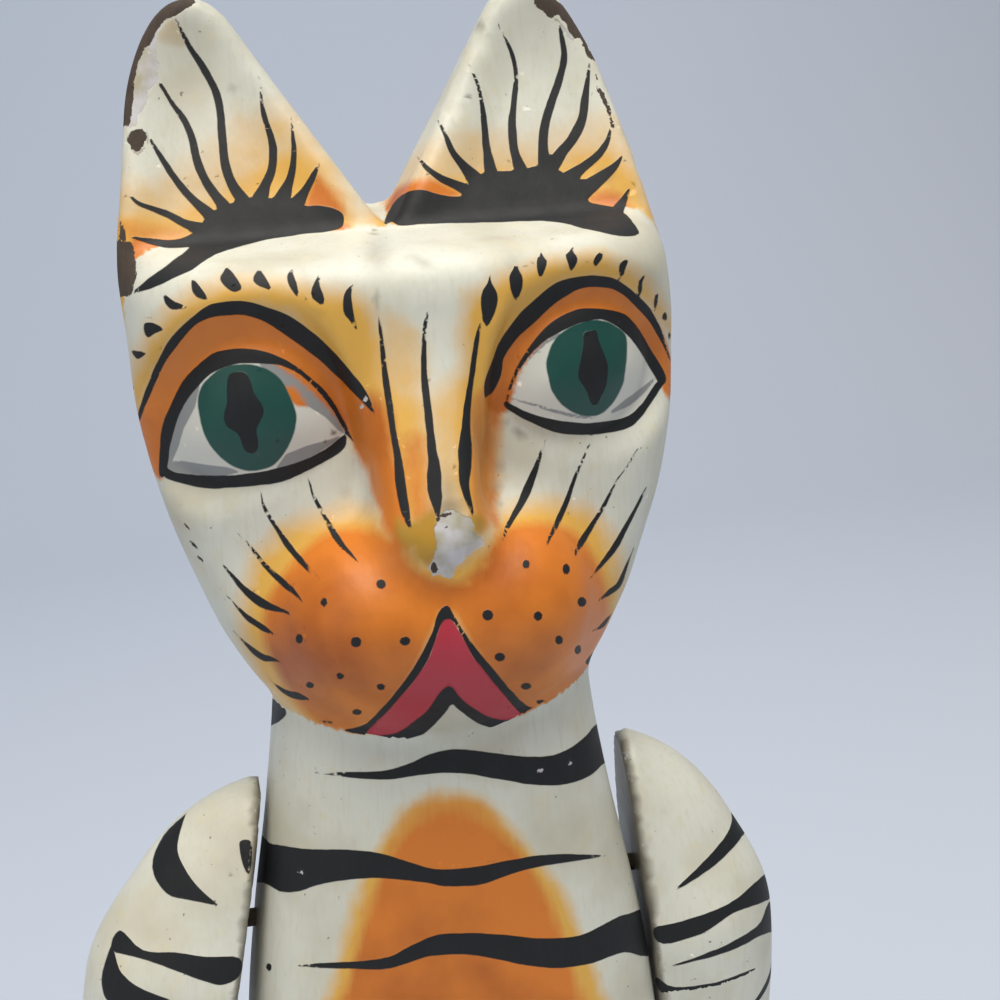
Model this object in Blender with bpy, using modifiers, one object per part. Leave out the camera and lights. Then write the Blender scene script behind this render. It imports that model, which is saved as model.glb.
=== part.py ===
"""A painted wooden cat that stands upright on a low base, with two loose arms pinned at the shoulders.

The cat faces -Y, +Z is up, and the origin is the middle of the underside of the base. The figure is a free
carving: its blanks are joined into one block, and the block's surface is moved onto a smooth function that
tells how far any point is from the carved wood. Sizes of the carving are shares of the cat's height over its
base, written in parts, one part being 1/442 of it, which is 1 mm at the real size. Heights in parts start at
the base's top.
"""

import math

import bmesh
import bpy
import numpy as np
from mathutils import Matrix, Vector

# Driving dimensions in metres
CAT_HEIGHT = 0.442
BASE_THICKNESS = 0.012
BASE_MARGIN = 0.005
BASE_CORNER = 0.012
BASE_EDGE = 0.0025
PIN_DIAMETER = 0.004
PIN_IN_BODY = 0.012
PIN_IN_ARM = 0.014
PIN_CLEARANCE = 0.0003
LEFT_ARM_GAP = 0.0034
RIGHT_ARM_GAP = 0.0024

# One part of the carving's own measure
PARTS_IN_HEIGHT = 442.0
PART = CAT_HEIGHT / PARTS_IN_HEIGHT
SOLE_DEPTH = 0.5 * BASE_THICKNESS / PART

# The head's place and turn: its own frame has its origin between the eyes, at the middle of the skull
NECK_HEIGHT = 288.0
EYE_HEIGHT = 72.0
HEAD_ROLL = math.radians(-2.0)
HEAD_YAW = math.radians(0.0)

# The skull, by height over the eye line: half width, depth of the face, depth of the back
SKULL_HEIGHTS = np.array([-80.0, -70.0, -60.0, -48.0, -34.0, -18.0, 0.0, 16.0, 30.0, 44.0])
SKULL_HALF_WIDTHS = np.array([13.0, 27.5, 36.5, 43.5, 48.5, 52.8, 55.5, 55.5, 54.0, 53.0])
SKULL_FRONTS = np.array([14.0, 24.0, 29.0, 30.0, 28.0, 27.0, 27.5, 28.0, 27.5, 26.0])
SKULL_BACKS = np.array([12.0, 20.0, 25.0, 29.0, 33.0, 36.0, 38.0, 37.0, 34.0, 30.0])
SKULL_SECTION = 2.7
CROWN_HEIGHT = 30.0
CROWN_SLOPE = 0.16
BRIDGE_HEIGHTS = np.array([-40.0, -25.0, -5.0, 10.0, 22.0])
BRIDGE_HALF_WIDTHS = np.array([8.5, 9.5, 11.5, 14.0, 19.0])

# The carving isn't even: how much fuller the wood is on each side, where it is negative less full
LEFT_CHEEK_FULLNESS = -1.1
RIGHT_CHEEK_FULLNESS = 2.8
LEFT_EAR_FULLNESS = 0.6
LEFT_EAR_TIP_FULLNESS = 1.8
RIGHT_EAR_FULLNESS = 2.7
RIGHT_FLANK_FULLNESS = 2.0

# Each eye: its middle across and up, how far the upper lid arches up, and how far the lower lid sags
LEFT_EYE = (-32.2, -6.0, 21.5, 7.0)
RIGHT_EYE = (33.4, -1.0, 17.5, 9.5)
EYE_HALF_WIDTH = 17.6

# The torso, by height over the base
TORSO_HEIGHTS = np.array([0.0, 50.0, 88.0, 118.0, 143.0, 168.0, 193.0, 213.0, 238.0, 268.0, 296.0, 328.0])
TORSO_HALF_WIDTHS = np.array([40.0, 43.0, 45.0, 46.0, 46.6, 47.0, 46.9, 46.2, 43.1, 38.0, 34.3, 33.0])
TORSO_FRONTS = np.array([20.0, 23.0, 28.0, 34.0, 39.0, 41.0, 39.5, 37.0, 34.0, 31.0, 28.5, 26.0])
TORSO_BACKS = np.array([24.0, 27.0, 33.0, 37.5, 40.0, 39.0, 36.0, 34.0, 31.5, 29.0, 27.5, 26.0])
TORSO_SECTION = 3.0

# The arms: the pins' height, how far the pin is under the shoulder, how far the arms stand away, and how far
# each is turned in
PIN_HEIGHT = 241.5
PIN_UNDER_SHOULDER = 36.0
LEFT_ARM_SPLAY = math.radians(12.5)
RIGHT_ARM_SPLAY = math.radians(5.5)
LEFT_ARM_TWIST = math.radians(0.0)
RIGHT_ARM_TWIST = math.radians(7.0)

# One foot: its middle and its radii
FOOT_MIDDLE = (22.5, -17.0, 6.0)
FOOT_RADII = (20.5, 37.0, 19.0)

# The feet and tail reach this far forward and back, and the feet this far out
REACH_ALONG = 58.0
REACH_ACROSS = 45.0

# Meshing: the cell of the joined block, the rounds of carving, and the triangles left at the end
BLOCK_CELL = 2.2
CARVING_PASSES = 5
BODY_TRIANGLES = 7200
ARM_TRIANGLES = 1000


def curve_through(at, stations, values):
    """A smooth curve through values at rising stations, level beyond its ends."""
    at = np.clip(at, stations[0], stations[-1])
    slopes = np.gradient(values, stations)
    i = np.clip(np.searchsorted(stations, at) - 1, 0, len(stations) - 2)
    run = stations[i + 1] - stations[i]
    t = (at - stations[i]) / run
    first = (1 + 2 * t) * (1 - t) ** 2 * values[i] + t * (1 - t) ** 2 * slopes[i] * run
    second = t * t * (3 - 2 * t) * values[i + 1] + t * t * (t - 1) * slopes[i + 1] * run
    return first + second


def ramp(value, start, end):
    """0 before start, 1 after end, and smooth between."""
    t = np.clip((value - start) / (end - start), 0.0, 1.0)
    return t * t * (3.0 - 2.0 * t)


def join(a, b, radius):
    """The union of two forms, with a fillet."""
    h = np.clip(0.5 + 0.5 * (b - a) / radius, 0.0, 1.0)
    return b + (a - b) * h - radius * h * (1.0 - h)


def keep(a, b, radius):
    """What two forms share, with a rounded edge."""
    return -join(-a, -b, radius)


def ellipsoid(p, centre, radii):
    """About the distance to an ellipsoid."""
    q = (p - np.array(centre)) / np.array(radii)
    length = np.linalg.norm(q, axis=1)
    steep = np.linalg.norm(q / np.array(radii), axis=1)
    return length * (length - 1.0) / np.maximum(steep, 1e-9)


def taper(p, start, end, start_radius, end_radius):
    """A round bar between two points, with its own radius at each end."""
    start, end = np.array(start), np.array(end)
    along = end - start
    t = np.clip((p - start) @ along / (along @ along), 0.0, 1.0)
    nearest = start + t[:, None] * along
    return np.linalg.norm(p - nearest, axis=1) - (start_radius + (end_radius - start_radius) * t)


def column(p, heights, half_widths, fronts, backs, power):
    """A column whose section at each height is a superellipse, flatter than an oval."""
    x, y, z = p.T
    width = curve_through(z, heights, half_widths)
    depth = np.where(y < 0.0, curve_through(z, heights, fronts), curve_through(z, heights, backs))
    size = (np.abs(x / width) ** power + np.abs(y / depth) ** power) ** (1.0 / power)
    size = np.maximum(size, 1e-6)
    lean = curve_through(z + 0.5, heights, half_widths) - curve_through(z - 0.5, heights, half_widths)
    return np.hypot(x, y) * (1.0 - 1.0 / size) / np.sqrt(1.0 + lean**2)


def fuller(x, left, right, start, end):
    """Distances from the middle plane, shortened so that a form drawn with them is fuller on each side."""
    across = np.abs(x)
    return across - np.where(x < 0.0, left, right) * ramp(across, start, end)


def ear(p):
    """Both ears: leaf-shaped blades with hollowed fronts that lean back."""
    y, z = p[:, 1], p[:, 2]
    left = LEFT_EAR_FULLNESS + LEFT_EAR_TIP_FULLNESS * ramp(z, 40.0, 75.0)
    x = fuller(p[:, 0], left, RIGHT_EAR_FULLNESS, 25.0, 45.0)
    edges = (((55.3, 25.0), 8.0), ((55.3, 25.0), -16.0), ((51.6, 50.0), 17.0), ((46.0, 70.0), 38.0),
             ((12.2, 52.0), 148.7))
    outline = z - 81.5
    for (ex, ez), degrees in edges:
        turn = math.radians(degrees)
        outline = keep(outline, (x - ex) * math.cos(turn) + (z - ez) * math.sin(turn), 5.0)
    outline = keep(outline, 6.0 - z, 4.0)
    middle = 15.0 + 0.04 * (z - 20.0)
    half = 10.5 - 6.0 * ramp(z, 20.0, 78.0)
    front = 18.5 - 13.5 * ramp(z, 22.0, 76.0)
    hollow = 1.6 * ramp(-outline, 2.0, 12.0) * ramp(z, 30.0, 44.0)
    blade = np.where(y < middle, middle - y - front + hollow, y - middle - half)
    return keep(outline, blade, 3.0)


def almond(p, eye):
    """About the distance, in the face's plane, to the edge of one eye: an arch over a shallow bow."""
    across, up, top, low = eye
    ex = p[:, 0] - across
    ez = p[:, 2] - up - 0.07 * ex
    q = np.column_stack([ex / EYE_HALF_WIDTH, ez / top])
    length = np.linalg.norm(q, axis=1)
    steep = np.hypot(q[:, 0] / EYE_HALF_WIDTH, q[:, 1] / top)
    arch = length * (length - 1.0) / np.maximum(steep, 1e-3)
    bow_radius = (EYE_HALF_WIDTH**2 + low**2) / (2.0 * low)
    bow = np.hypot(ex, ez - (bow_radius - low)) - bow_radius
    return keep(arch, bow, 3.0)


def face_relief(p):
    """How much wood is cut away from the front of the skull, or left on where it is negative."""
    x, z = np.abs(p[:, 0]), p[:, 2]
    front = ramp(-p[:, 1], 2.0, 14.0)
    edge = np.where(p[:, 0] < 0.0, almond(p, LEFT_EYE), almond(p, RIGHT_EYE))
    bridge = curve_through(z, BRIDGE_HEIGHTS, BRIDGE_HALF_WIDTHS)
    beside = ramp(x, bridge - 1.0, bridge + 2.5)
    under_brow = ramp(edge, 10.5, 1.0)
    cheek = ramp(z, 4.0, -10.0) * ramp(x, 54.0, 30.0) * ramp(z, -46.0, -24.0)
    socket = -5.0 * beside * join(-under_brow * ramp(z, -30.0, -12.0), -0.9 * cheek, 0.4)
    groove = 0.8 * np.exp(-((edge / 1.5) ** 2))
    ball = 3.4 * ramp(-edge, -0.5, 12.0)
    return front * (socket + groove - ball)


def face(p):
    """The skull with its muzzle and nose, in the head's own frame."""
    x, y, z = p.T
    right = RIGHT_CHEEK_FULLNESS * ramp(z, -62.0, -20.0)
    across = fuller(x, LEFT_CHEEK_FULLNESS, right, 15.0, 45.0)
    skull = np.column_stack([across, y, z])
    skull = column(skull, SKULL_HEIGHTS, SKULL_HALF_WIDTHS, SKULL_FRONTS, SKULL_BACKS, SKULL_SECTION)
    crown = z - CROWN_HEIGHT - CROWN_SLOPE * (y + 22.0)
    skull = keep(skull, crown, 9.0)
    skull = keep(skull, -77.0 - z, 8.0)
    skull = skull + face_relief(p)
    nose = taper(p, (0.5, -15.0, 16.0), (-1.0, -33.5, -20.0), 12.5, 9.5)
    nose = keep(nose, -y - 26.0 - 0.43 * (16.0 - z), 2.5)
    nose = keep(nose, -28.5 - z - 0.25 * (y + 44.0), 1.2)
    skull = join(skull, nose, 3.5)
    sides = np.column_stack([np.abs(x), y, z])
    muzzle = ellipsoid(p, (0.0, -17.0, -43.0), (31.0, 25.5, 24.0))
    lobe = ellipsoid(sides, (14.0, -23.0, -40.5), (17.5, 20.5, 18.0))
    return join(skull, join(muzzle, lobe, 7.0), 9.0)


def head(p):
    """The face with the ears."""
    return join(face(p), ear(p), 2.5)


def head_turn():
    """The head's rotation: a yaw towards +X, then a small roll."""
    return np.array(Matrix.Rotation(HEAD_ROLL, 3, "Y") @ Matrix.Rotation(HEAD_YAW, 3, "Z"))


def eye_centre():
    """The origin of the head's own frame, in the cat's."""
    return np.array([0.0, 0.0, NECK_HEIGHT]) + head_turn() @ np.array([0.0, 0.0, EYE_HEIGHT])


def flank_fullness(height):
    """How much fuller the torso is on the right at a height."""
    return RIGHT_FLANK_FULLNESS * ramp(height, 300.0, 225.0)


def torso(p):
    """The torso and legs in one column, parted below the hips by a groove in front and behind."""
    across = fuller(p[:, 0], 0.0, flank_fullness(p[:, 2]), 15.0, 35.0)
    trunk = np.column_stack([across, p[:, 1], p[:, 2]])
    trunk = column(trunk, TORSO_HEIGHTS, TORSO_HALF_WIDTHS, TORSO_FRONTS, TORSO_BACKS, TORSO_SECTION)
    trunk = keep(trunk, p[:, 2] - 326.0, 4.0)
    parting = 13.0 * np.exp(-((p[:, 0] / 6.5) ** 2)) * ramp(p[:, 2], 124.0, 84.0)
    return trunk + parting


def tail_course():
    """The tail's middle line and radius: down the back from the rump, then round to one side on the base."""
    points = (
        (0.0, 32.0, 158.0), (0.0, 34.5, 140.0), (0.0, 35.5, 122.0), (0.5, 35.5, 104.0), (1.5, 35.0, 86.0),
        (3.5, 34.0, 68.0), (6.5, 33.5, 51.0), (11.0, 34.0, 36.0), (17.0, 35.5, 23.5), (24.5, 36.5, 14.0),
        (32.5, 35.5, 10.0), (39.0, 30.5, 9.0), (42.0, 22.0, 9.0), (41.5, 13.0, 9.0),
    )
    radii = (8.0, 10.0, 11.0, 11.2, 11.0, 10.8, 10.5, 10.2, 10.0, 9.8, 9.5, 9.0, 8.5, 7.5)
    return points, radii


def body(p):
    """The whole carving from the ears to the soles."""
    sides = np.column_stack([np.abs(p[:, 0]), p[:, 1], p[:, 2]])
    form = torso(p)
    foot = ellipsoid(sides, FOOT_MIDDLE, FOOT_RADII)
    toes = np.exp(-(((sides[:, 0] - 16.5) / 1.5) ** 2)) + np.exp(-(((sides[:, 0] - 28.5) / 1.5) ** 2))
    foot = foot + 1.8 * toes * ramp(-p[:, 1], 30.0, 42.0)
    form = join(form, foot, 6.0)
    points, radii = tail_course()
    tail = np.full(len(p), 1e3)
    for i in range(len(points) - 1):
        tail = np.minimum(tail, taper(p, points[i], points[i + 1], radii[i], radii[i + 1]))
    form = join(form, tail, 4.0)
    form = join(form, head((p - eye_centre()) @ head_turn()), 3.0)
    return keep(form, -SOLE_DEPTH - p[:, 2], 1.0)


def arm(p):
    """One arm, with its pin through the origin and its outside towards +X; x is 0 on its flat inner face."""
    x, y = p[:, 0], p[:, 1]
    z = p[:, 2] - PIN_UNDER_SHOULDER
    across = np.column_stack([x, y + 12.0 * ramp(z, -70.0, -150.0), z])
    upper = ellipsoid(across, (-8.0, 0.0, -54.0), (38.0, 21.0, 54.0))
    middle = taper(across, (11.5, 0.0, -50.0), (12.0, -2.0, -112.0), 18.0, 13.5)
    paw = ellipsoid(across, (12.0, -7.0, -130.0), (15.5, 18.0, 21.0))
    toes = np.exp(-(((across[:, 1] + 4.0) / 1.4) ** 2)) + np.exp(-(((across[:, 1] + 13.0) / 1.4) ** 2))
    paw = paw + 1.8 * toes * ramp(z, -132.0, -142.0)
    form = join(join(upper, middle, 10.0), paw, 8.0)
    return keep(form, -x, 1.6)


def arm_place(side, splay, twist, gap):
    """The arm's place: its inner face stands off the torso's flank at the height of the pin."""
    at_pin = np.array([PIN_HEIGHT])
    flank = float(curve_through(at_pin, TORSO_HEIGHTS, TORSO_HALF_WIDTHS)[0])
    if side > 0.0:
        flank += float(flank_fullness(at_pin)[0])
    at = Matrix.Translation((side * (flank * PART + gap), 0.0, BASE_THICKNESS + PIN_HEIGHT * PART))
    hung = at @ Matrix.Rotation(-side * splay, 4, "Y") @ Matrix.Diagonal((side, 1.0, 1.0, 1.0))
    return hung @ Matrix.Rotation(-twist, 4, "Z")


def carve(mesh, form):
    """Moves each vertex onto the form's surface, evening out the mesh between moves."""
    step = 0.05
    for turn in range(CARVING_PASSES):
        if turn:
            even_out(mesh)
        p = np.empty(len(mesh.vertices) * 3)
        mesh.vertices.foreach_get("co", p)
        p = p.reshape(-1, 3) / PART
        for _ in range(2):
            depth = form(p)
            pairs = [(form(p + step * axis), form(p - step * axis)) for axis in np.eye(3)]
            slope = np.column_stack([(ahead - behind) / (2.0 * step) for ahead, behind in pairs])
            steep = np.maximum((slope**2).sum(axis=1), 0.05)
            move = -(depth / steep)[:, None] * slope
            length = np.linalg.norm(move, axis=1, keepdims=True)
            p = p + move * np.minimum(1.0, 4.0 / np.maximum(length, 1e-9))
        mesh.vertices.foreach_set("co", (p * PART).ravel())
    mesh.update()


def even_out(mesh):
    """One pass of smoothing over the whole mesh."""
    bm = bmesh.new()
    bm.from_mesh(mesh)
    every_way = {"use_axis_x": True, "use_axis_y": True, "use_axis_z": True}
    bmesh.ops.smooth_vert(bm, verts=bm.verts, factor=0.5, **every_way)
    bm.to_mesh(mesh)
    bm.free()


def new_object(name, mesh, collection):
    """An object of its own for a mesh."""
    obj = bpy.data.objects.new(name, mesh)
    collection.objects.link(obj)
    return obj


def apply_modifiers(obj):
    """Makes what the modifiers give the object's own mesh."""
    graph = bpy.context.evaluated_depsgraph_get()
    mesh = bpy.data.meshes.new_from_object(obj.evaluated_get(graph))
    old = obj.data
    obj.modifiers.clear()
    obj.data = mesh
    bpy.data.meshes.remove(old)
    mesh.name = obj.name


def ball_blank(middle, radii, form=None):
    """A stretched ball between its radii, in parts, carved to a form of its own where one is given."""
    bm = bmesh.new()
    matrix = Matrix.Translation(Vector(middle) * PART) @ Matrix.Diagonal((*radii, 1.0))
    bmesh.ops.create_uvsphere(bm, u_segments=56, v_segments=40, radius=PART, matrix=matrix)
    return blank(bm, "Ball_blank", form)


def trunk_blank(height, radius):
    """A round post cut into rings and carved to the torso, from under the soles to the neck's top."""
    bm = bmesh.new()
    depth = height + SOLE_DEPTH
    matrix = Matrix.Translation((0.0, 0.0, (0.5 * depth - SOLE_DEPTH) * PART))
    size = {"radius1": radius * PART, "radius2": radius * PART, "depth": depth * PART}
    bmesh.ops.create_cone(bm, cap_ends=True, segments=48, matrix=matrix, **size)
    upright = [e for e in bm.edges if abs(e.verts[0].co.z - e.verts[1].co.z) > 0.5 * depth * PART]
    bmesh.ops.subdivide_edges(bm, edges=upright, cuts=60)
    return blank(bm, "Trunk_blank", lambda p: keep(torso(p), -SOLE_DEPTH - p[:, 2], 1.0))


def tail_blank():
    """A tube along the tail's course."""
    points, radii = tail_course()
    curve = bpy.data.curves.new("Tail_blank", "CURVE")
    curve.dimensions = "3D"
    curve.bevel_depth = PART
    curve.bevel_resolution = 6
    curve.use_fill_caps = True
    spline = curve.splines.new("POLY")
    spline.points.add(len(points) - 1)
    for point, place, radius in zip(spline.points, points, radii):
        point.co = (*(Vector(place) * PART), 1.0)
        point.radius = radius
    tube = bpy.data.objects.new("Tail_blank", curve)
    bpy.context.scene.collection.objects.link(tube)
    mesh = bpy.data.meshes.new_from_object(tube.evaluated_get(bpy.context.evaluated_depsgraph_get()))
    bpy.data.objects.remove(tube)
    bm = bmesh.new()
    bm.from_mesh(mesh)
    bpy.data.meshes.remove(mesh)
    bmesh.ops.remove_doubles(bm, verts=bm.verts, dist=0.00001)
    return blank(bm, "Tail_blank")


def blank(bm, name, form=None):
    """A blank's mesh, carved to its own form where one is given."""
    mesh = bpy.data.meshes.new(name)
    bm.to_mesh(mesh)
    bm.free()
    if form:
        carve(mesh, form)
    return mesh


def head_blanks():
    """The block of the head and one blank for each ear, carved and set on the neck."""
    blanks = [ball_blank((0.0, -4.0, -21.0), (64.0, 48.0, 66.0), face)]
    for side in (-1.0, 1.0):
        blanks.append(ball_blank((side * 37.0, 12.0, 44.0), (27.0, 20.0, 46.0), ear))
    place = Matrix.Translation(Vector(eye_centre()) * PART) @ Matrix(head_turn().tolist()).to_4x4()
    for mesh in blanks:
        mesh.transform(place)
    return blanks


def body_blanks():
    """The blanks of the head, torso, feet and tail."""
    blanks = head_blanks() + [trunk_blank(326.0, 50.0), tail_blank()]
    for side in (-1.0, 1.0):
        across, along, up = FOOT_MIDDLE
        blanks.append(ball_blank((side * across, along, up), FOOT_RADII))
    return blanks


def carved(name, form, blanks, triangles, collection):
    """Blanks made one block, carved to its form and thinned out."""
    bm = bmesh.new()
    for mesh in blanks:
        bm.from_mesh(mesh)
        bpy.data.meshes.remove(mesh)
    bmesh.ops.recalc_face_normals(bm, faces=bm.faces)
    obj = new_object(name, blank(bm, name), collection)
    skin = obj.modifiers.new("One_skin", "REMESH")
    skin.mode = "VOXEL"
    skin.voxel_size = BLOCK_CELL * PART
    apply_modifiers(obj)
    carve(obj.data, form)
    thin = obj.modifiers.new("Thin", "DECIMATE")
    thin.ratio = min(1.0, triangles / (2.0 * len(obj.data.polygons)))
    apply_modifiers(obj)
    return obj


def placed(obj, matrix):
    """Moves the mesh itself, and turns its faces back out where the move mirrors it."""
    obj.data.transform(matrix)
    if matrix.determinant() < 0.0:
        obj.data.flip_normals()
    obj.data.update()


def base_slab(collection):
    """A low slab with rounded corners and a small bevel round the top."""
    across = REACH_ACROSS * PART + BASE_MARGIN
    along = REACH_ALONG * PART + BASE_MARGIN
    bm = bmesh.new()
    rim = []
    for sx, sy, start in ((1, 1, 0), (-1, 1, 90), (-1, -1, 180), (1, -1, 270)):
        for i in range(5):
            angle = math.radians(start + 22.5 * i)
            x = sx * (across - BASE_CORNER) + BASE_CORNER * math.cos(angle)
            y = sy * (along - BASE_CORNER) + BASE_CORNER * math.sin(angle)
            rim.append(bm.verts.new((x, y, 0.0)))
    bottom = bm.faces.new(rim)
    top = bmesh.ops.extrude_face_region(bm, geom=[bottom])["geom"]
    raised = [v for v in top if isinstance(v, bmesh.types.BMVert)]
    bmesh.ops.translate(bm, verts=raised, vec=(0.0, 0.0, BASE_THICKNESS))
    upper = [e for e in bm.edges if all(v.co.z > 0.5 * BASE_THICKNESS for v in e.verts)]
    bmesh.ops.bevel(bm, geom=upper, offset=BASE_EDGE, segments=2, profile=0.5, affect="EDGES", material=-1)
    bmesh.ops.recalc_face_normals(bm, faces=bm.faces)
    mesh = bpy.data.meshes.new("Base_slab")
    bm.to_mesh(mesh)
    bm.free()
    return new_object("Base_slab", mesh, collection)


def rod(name, radius, start, end, collection):
    """A round rod between two points, chamfered at neither end."""
    start, end = Vector(start), Vector(end)
    turn = (end - start).to_track_quat("Z", "Y").to_matrix().to_4x4()
    bm = bmesh.new()
    matrix = Matrix.Translation((start + end) / 2.0) @ turn
    size = {"radius1": radius, "radius2": radius, "depth": (end - start).length}
    bmesh.ops.create_cone(bm, cap_ends=True, segments=24, matrix=matrix, **size)
    mesh = bpy.data.meshes.new(name)
    bm.to_mesh(mesh)
    bm.free()
    return new_object(name, mesh, collection)


def cut_or_add(obj, tool, operation):
    """An exact Boolean of one object with another, made part of its mesh."""
    modifier = obj.modifiers.new(operation.title(), "BOOLEAN")
    modifier.operation = operation
    modifier.solver = "EXACT"
    modifier.object = tool
    apply_modifiers(obj)


def hide_tool(obj):
    """Shows a cutter as a wire only."""
    obj.hide_render = True
    obj.display_type = "WIRE"


def wood_paint(name, colour, roughness):
    """A plain material for one part."""
    material = bpy.data.materials.new(name)
    material.use_nodes = True
    shader = material.node_tree.nodes["Principled BSDF"]
    shader.inputs["Base Color"].default_value = (*colour, 1.0)
    shader.inputs["Roughness"].default_value = roughness
    shader.inputs["Metallic"].default_value = 0.0
    return material


def finish(obj, material):
    """One material, flat shading and no loose modifiers."""
    obj.data.materials.clear()
    obj.data.materials.append(material)


def add_arm(side, splay, twist, gap, cat, collection, cutters, material, pin_material):
    """One arm with its pin, and the holes for the pin in the arm and the body."""
    name = "left" if side < 0.0 else "right"
    limb_blank = ball_blank((14.0, -4.0, -39.0), (22.0, 30.0, 84.0), arm)
    limb = carved(name + "_arm", arm, [limb_blank], ARM_TRIANGLES, collection)
    place = arm_place(side, splay, twist, gap)
    placed(limb, place)
    at = place.translation
    inner = at - Vector((side * (gap + PIN_IN_BODY), 0.0, 0.0))
    outer = at + Vector((side * PIN_IN_ARM, 0.0, 0.0))
    slack = Vector((side * PIN_CLEARANCE, 0.0, 0.0))
    bore_radius = PIN_DIAMETER / 2.0 + PIN_CLEARANCE
    bore = rod(name + "_pin_hole", bore_radius, inner - slack, outer + slack, cutters)
    hide_tool(bore)
    cut_or_add(limb, bore, "DIFFERENCE")
    cut_or_add(cat, bore, "DIFFERENCE")
    pin = rod(name + "_shoulder_pin", PIN_DIAMETER / 2.0, inner, outer, collection)
    finish(limb, material)
    finish(pin, pin_material)


def main():
    """Builds the cat, its arms and their pins."""
    for obj in list(bpy.data.objects):
        bpy.data.objects.remove(obj)
    scene = bpy.context.scene.collection
    collection = bpy.data.collections.new("Wooden_cat")
    cutters = bpy.data.collections.new("Cutters")
    scene.children.link(collection)
    scene.children.link(cutters)

    cream = wood_paint("Cream_paint_on_wood", (0.69, 0.66, 0.56), 0.45)
    bare = wood_paint("Dark_peg_wood", (0.08, 0.055, 0.04), 0.6)

    cat = carved("body", body, body_blanks(), BODY_TRIANGLES, collection)
    placed(cat, Matrix.Translation((0.0, 0.0, BASE_THICKNESS)))
    slab = base_slab(cutters)
    hide_tool(slab)
    cut_or_add(cat, slab, "UNION")
    finish(cat, cream)
    add_arm(-1.0, LEFT_ARM_SPLAY, LEFT_ARM_TWIST, LEFT_ARM_GAP, cat, collection, cutters, cream, bare)
    add_arm(1.0, RIGHT_ARM_SPLAY, RIGHT_ARM_TWIST, RIGHT_ARM_GAP, cat, collection, cutters, cream, bare)


if __name__ == "__main__":
    main()
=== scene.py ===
"""A painted wooden cat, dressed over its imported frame: carved skins with brushwork, washes, wear and pegs.

Each skin starts from its solid's own mesh, is made finer and laid on the carving's own form. It carries its paint
as distances from the edge of each brush mark, in millimetres, and the materials turn those into painted edges.
"""
import logging
import math
from dataclasses import dataclass
from enum import Enum
from typing import Callable

import bmesh
import bpy
import numpy as np
from mathutils import Matrix, Vector


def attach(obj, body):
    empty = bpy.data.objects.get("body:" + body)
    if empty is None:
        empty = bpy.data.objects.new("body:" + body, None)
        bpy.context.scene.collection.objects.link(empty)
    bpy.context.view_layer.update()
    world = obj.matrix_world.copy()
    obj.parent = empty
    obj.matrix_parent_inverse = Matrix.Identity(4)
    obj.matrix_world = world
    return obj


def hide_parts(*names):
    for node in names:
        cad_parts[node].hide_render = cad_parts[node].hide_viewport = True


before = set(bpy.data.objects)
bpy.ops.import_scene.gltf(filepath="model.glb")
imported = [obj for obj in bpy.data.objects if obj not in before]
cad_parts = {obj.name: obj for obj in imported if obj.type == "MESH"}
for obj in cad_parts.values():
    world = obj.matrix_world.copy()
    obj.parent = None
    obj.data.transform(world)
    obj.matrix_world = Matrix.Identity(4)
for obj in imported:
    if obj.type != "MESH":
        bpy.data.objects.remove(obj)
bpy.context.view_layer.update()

LOG = logging.getLogger("wooden_cat")

Array = np.ndarray
Pixel = tuple[float, float]
MM = 0.001
FAR = 9.0

# Sizes shared with the solids, in mm
BASE_THICKNESS = 12.0
BASE_HALF = (50.0, 63.0)
BASE_CORNER = 12.0
BASE_EDGE = 2.5
PIN_HEIGHT = 241.5
PIN_UNDER_SHOULDER = 36.0
SOLE_DEPTH = 6.0


class Side(Enum):
    """Which arm, as seen from in front, with the way out from the body along X."""

    LEFT = -1.0
    RIGHT = 1.0


def curve_through(at: Array, stations: Array, values: Array) -> Array:
    """A smooth curve through values at rising stations.

    Args:
        at: where to read the curve.
        stations: the rising positions of the known values.
        values: the known values.

    Returns:
        The curve's values, level beyond its ends.
    """
    at = np.clip(at, stations[0], stations[-1])
    slopes = np.gradient(values, stations)
    i = np.clip(np.searchsorted(stations, at) - 1, 0, len(stations) - 2)
    run = stations[i + 1] - stations[i]
    t = (at - stations[i]) / run
    first = (1 + 2 * t) * (1 - t) ** 2 * values[i] + t * (1 - t) ** 2 * slopes[i] * run
    second = t * t * (3 - 2 * t) * values[i + 1] + t * t * (t - 1) * slopes[i + 1] * run
    return first + second


def ramp(value: Array, start: float | Array, end: float | Array) -> Array:
    """0 before start, 1 after end, and smooth between."""
    t = np.clip((value - start) / (end - start), 0.0, 1.0)
    return t * t * (3.0 - 2.0 * t)


def fuller(x: Array, left: float | Array, right: float | Array, start: float, end: float) -> Array:
    """Distances from the middle plane, shortened so that a form drawn with them is fuller on each side."""
    across = np.abs(x)
    return across - np.where(x < 0.0, left, right) * ramp(across, start, end)


def join(a: Array, b: Array, radius: float) -> Array:
    """The union of two forms, with a fillet."""
    h = np.clip(0.5 + 0.5 * (b - a) / radius, 0.0, 1.0)
    return b + (a - b) * h - radius * h * (1.0 - h)


def keep(a: Array, b: Array, radius: float) -> Array:
    """What two forms share, with a rounded edge."""
    return -join(-a, -b, radius)


def ellipsoid(p: Array, centre: tuple[float, float, float], radii: tuple[float, float, float]) -> Array:
    """About the distance from points to an ellipsoid."""
    q = (p - np.array(centre)) / np.array(radii)
    length = np.linalg.norm(q, axis=1)
    steep = np.linalg.norm(q / np.array(radii), axis=1)
    return length * (length - 1.0) / np.maximum(steep, 1e-9)


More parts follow.
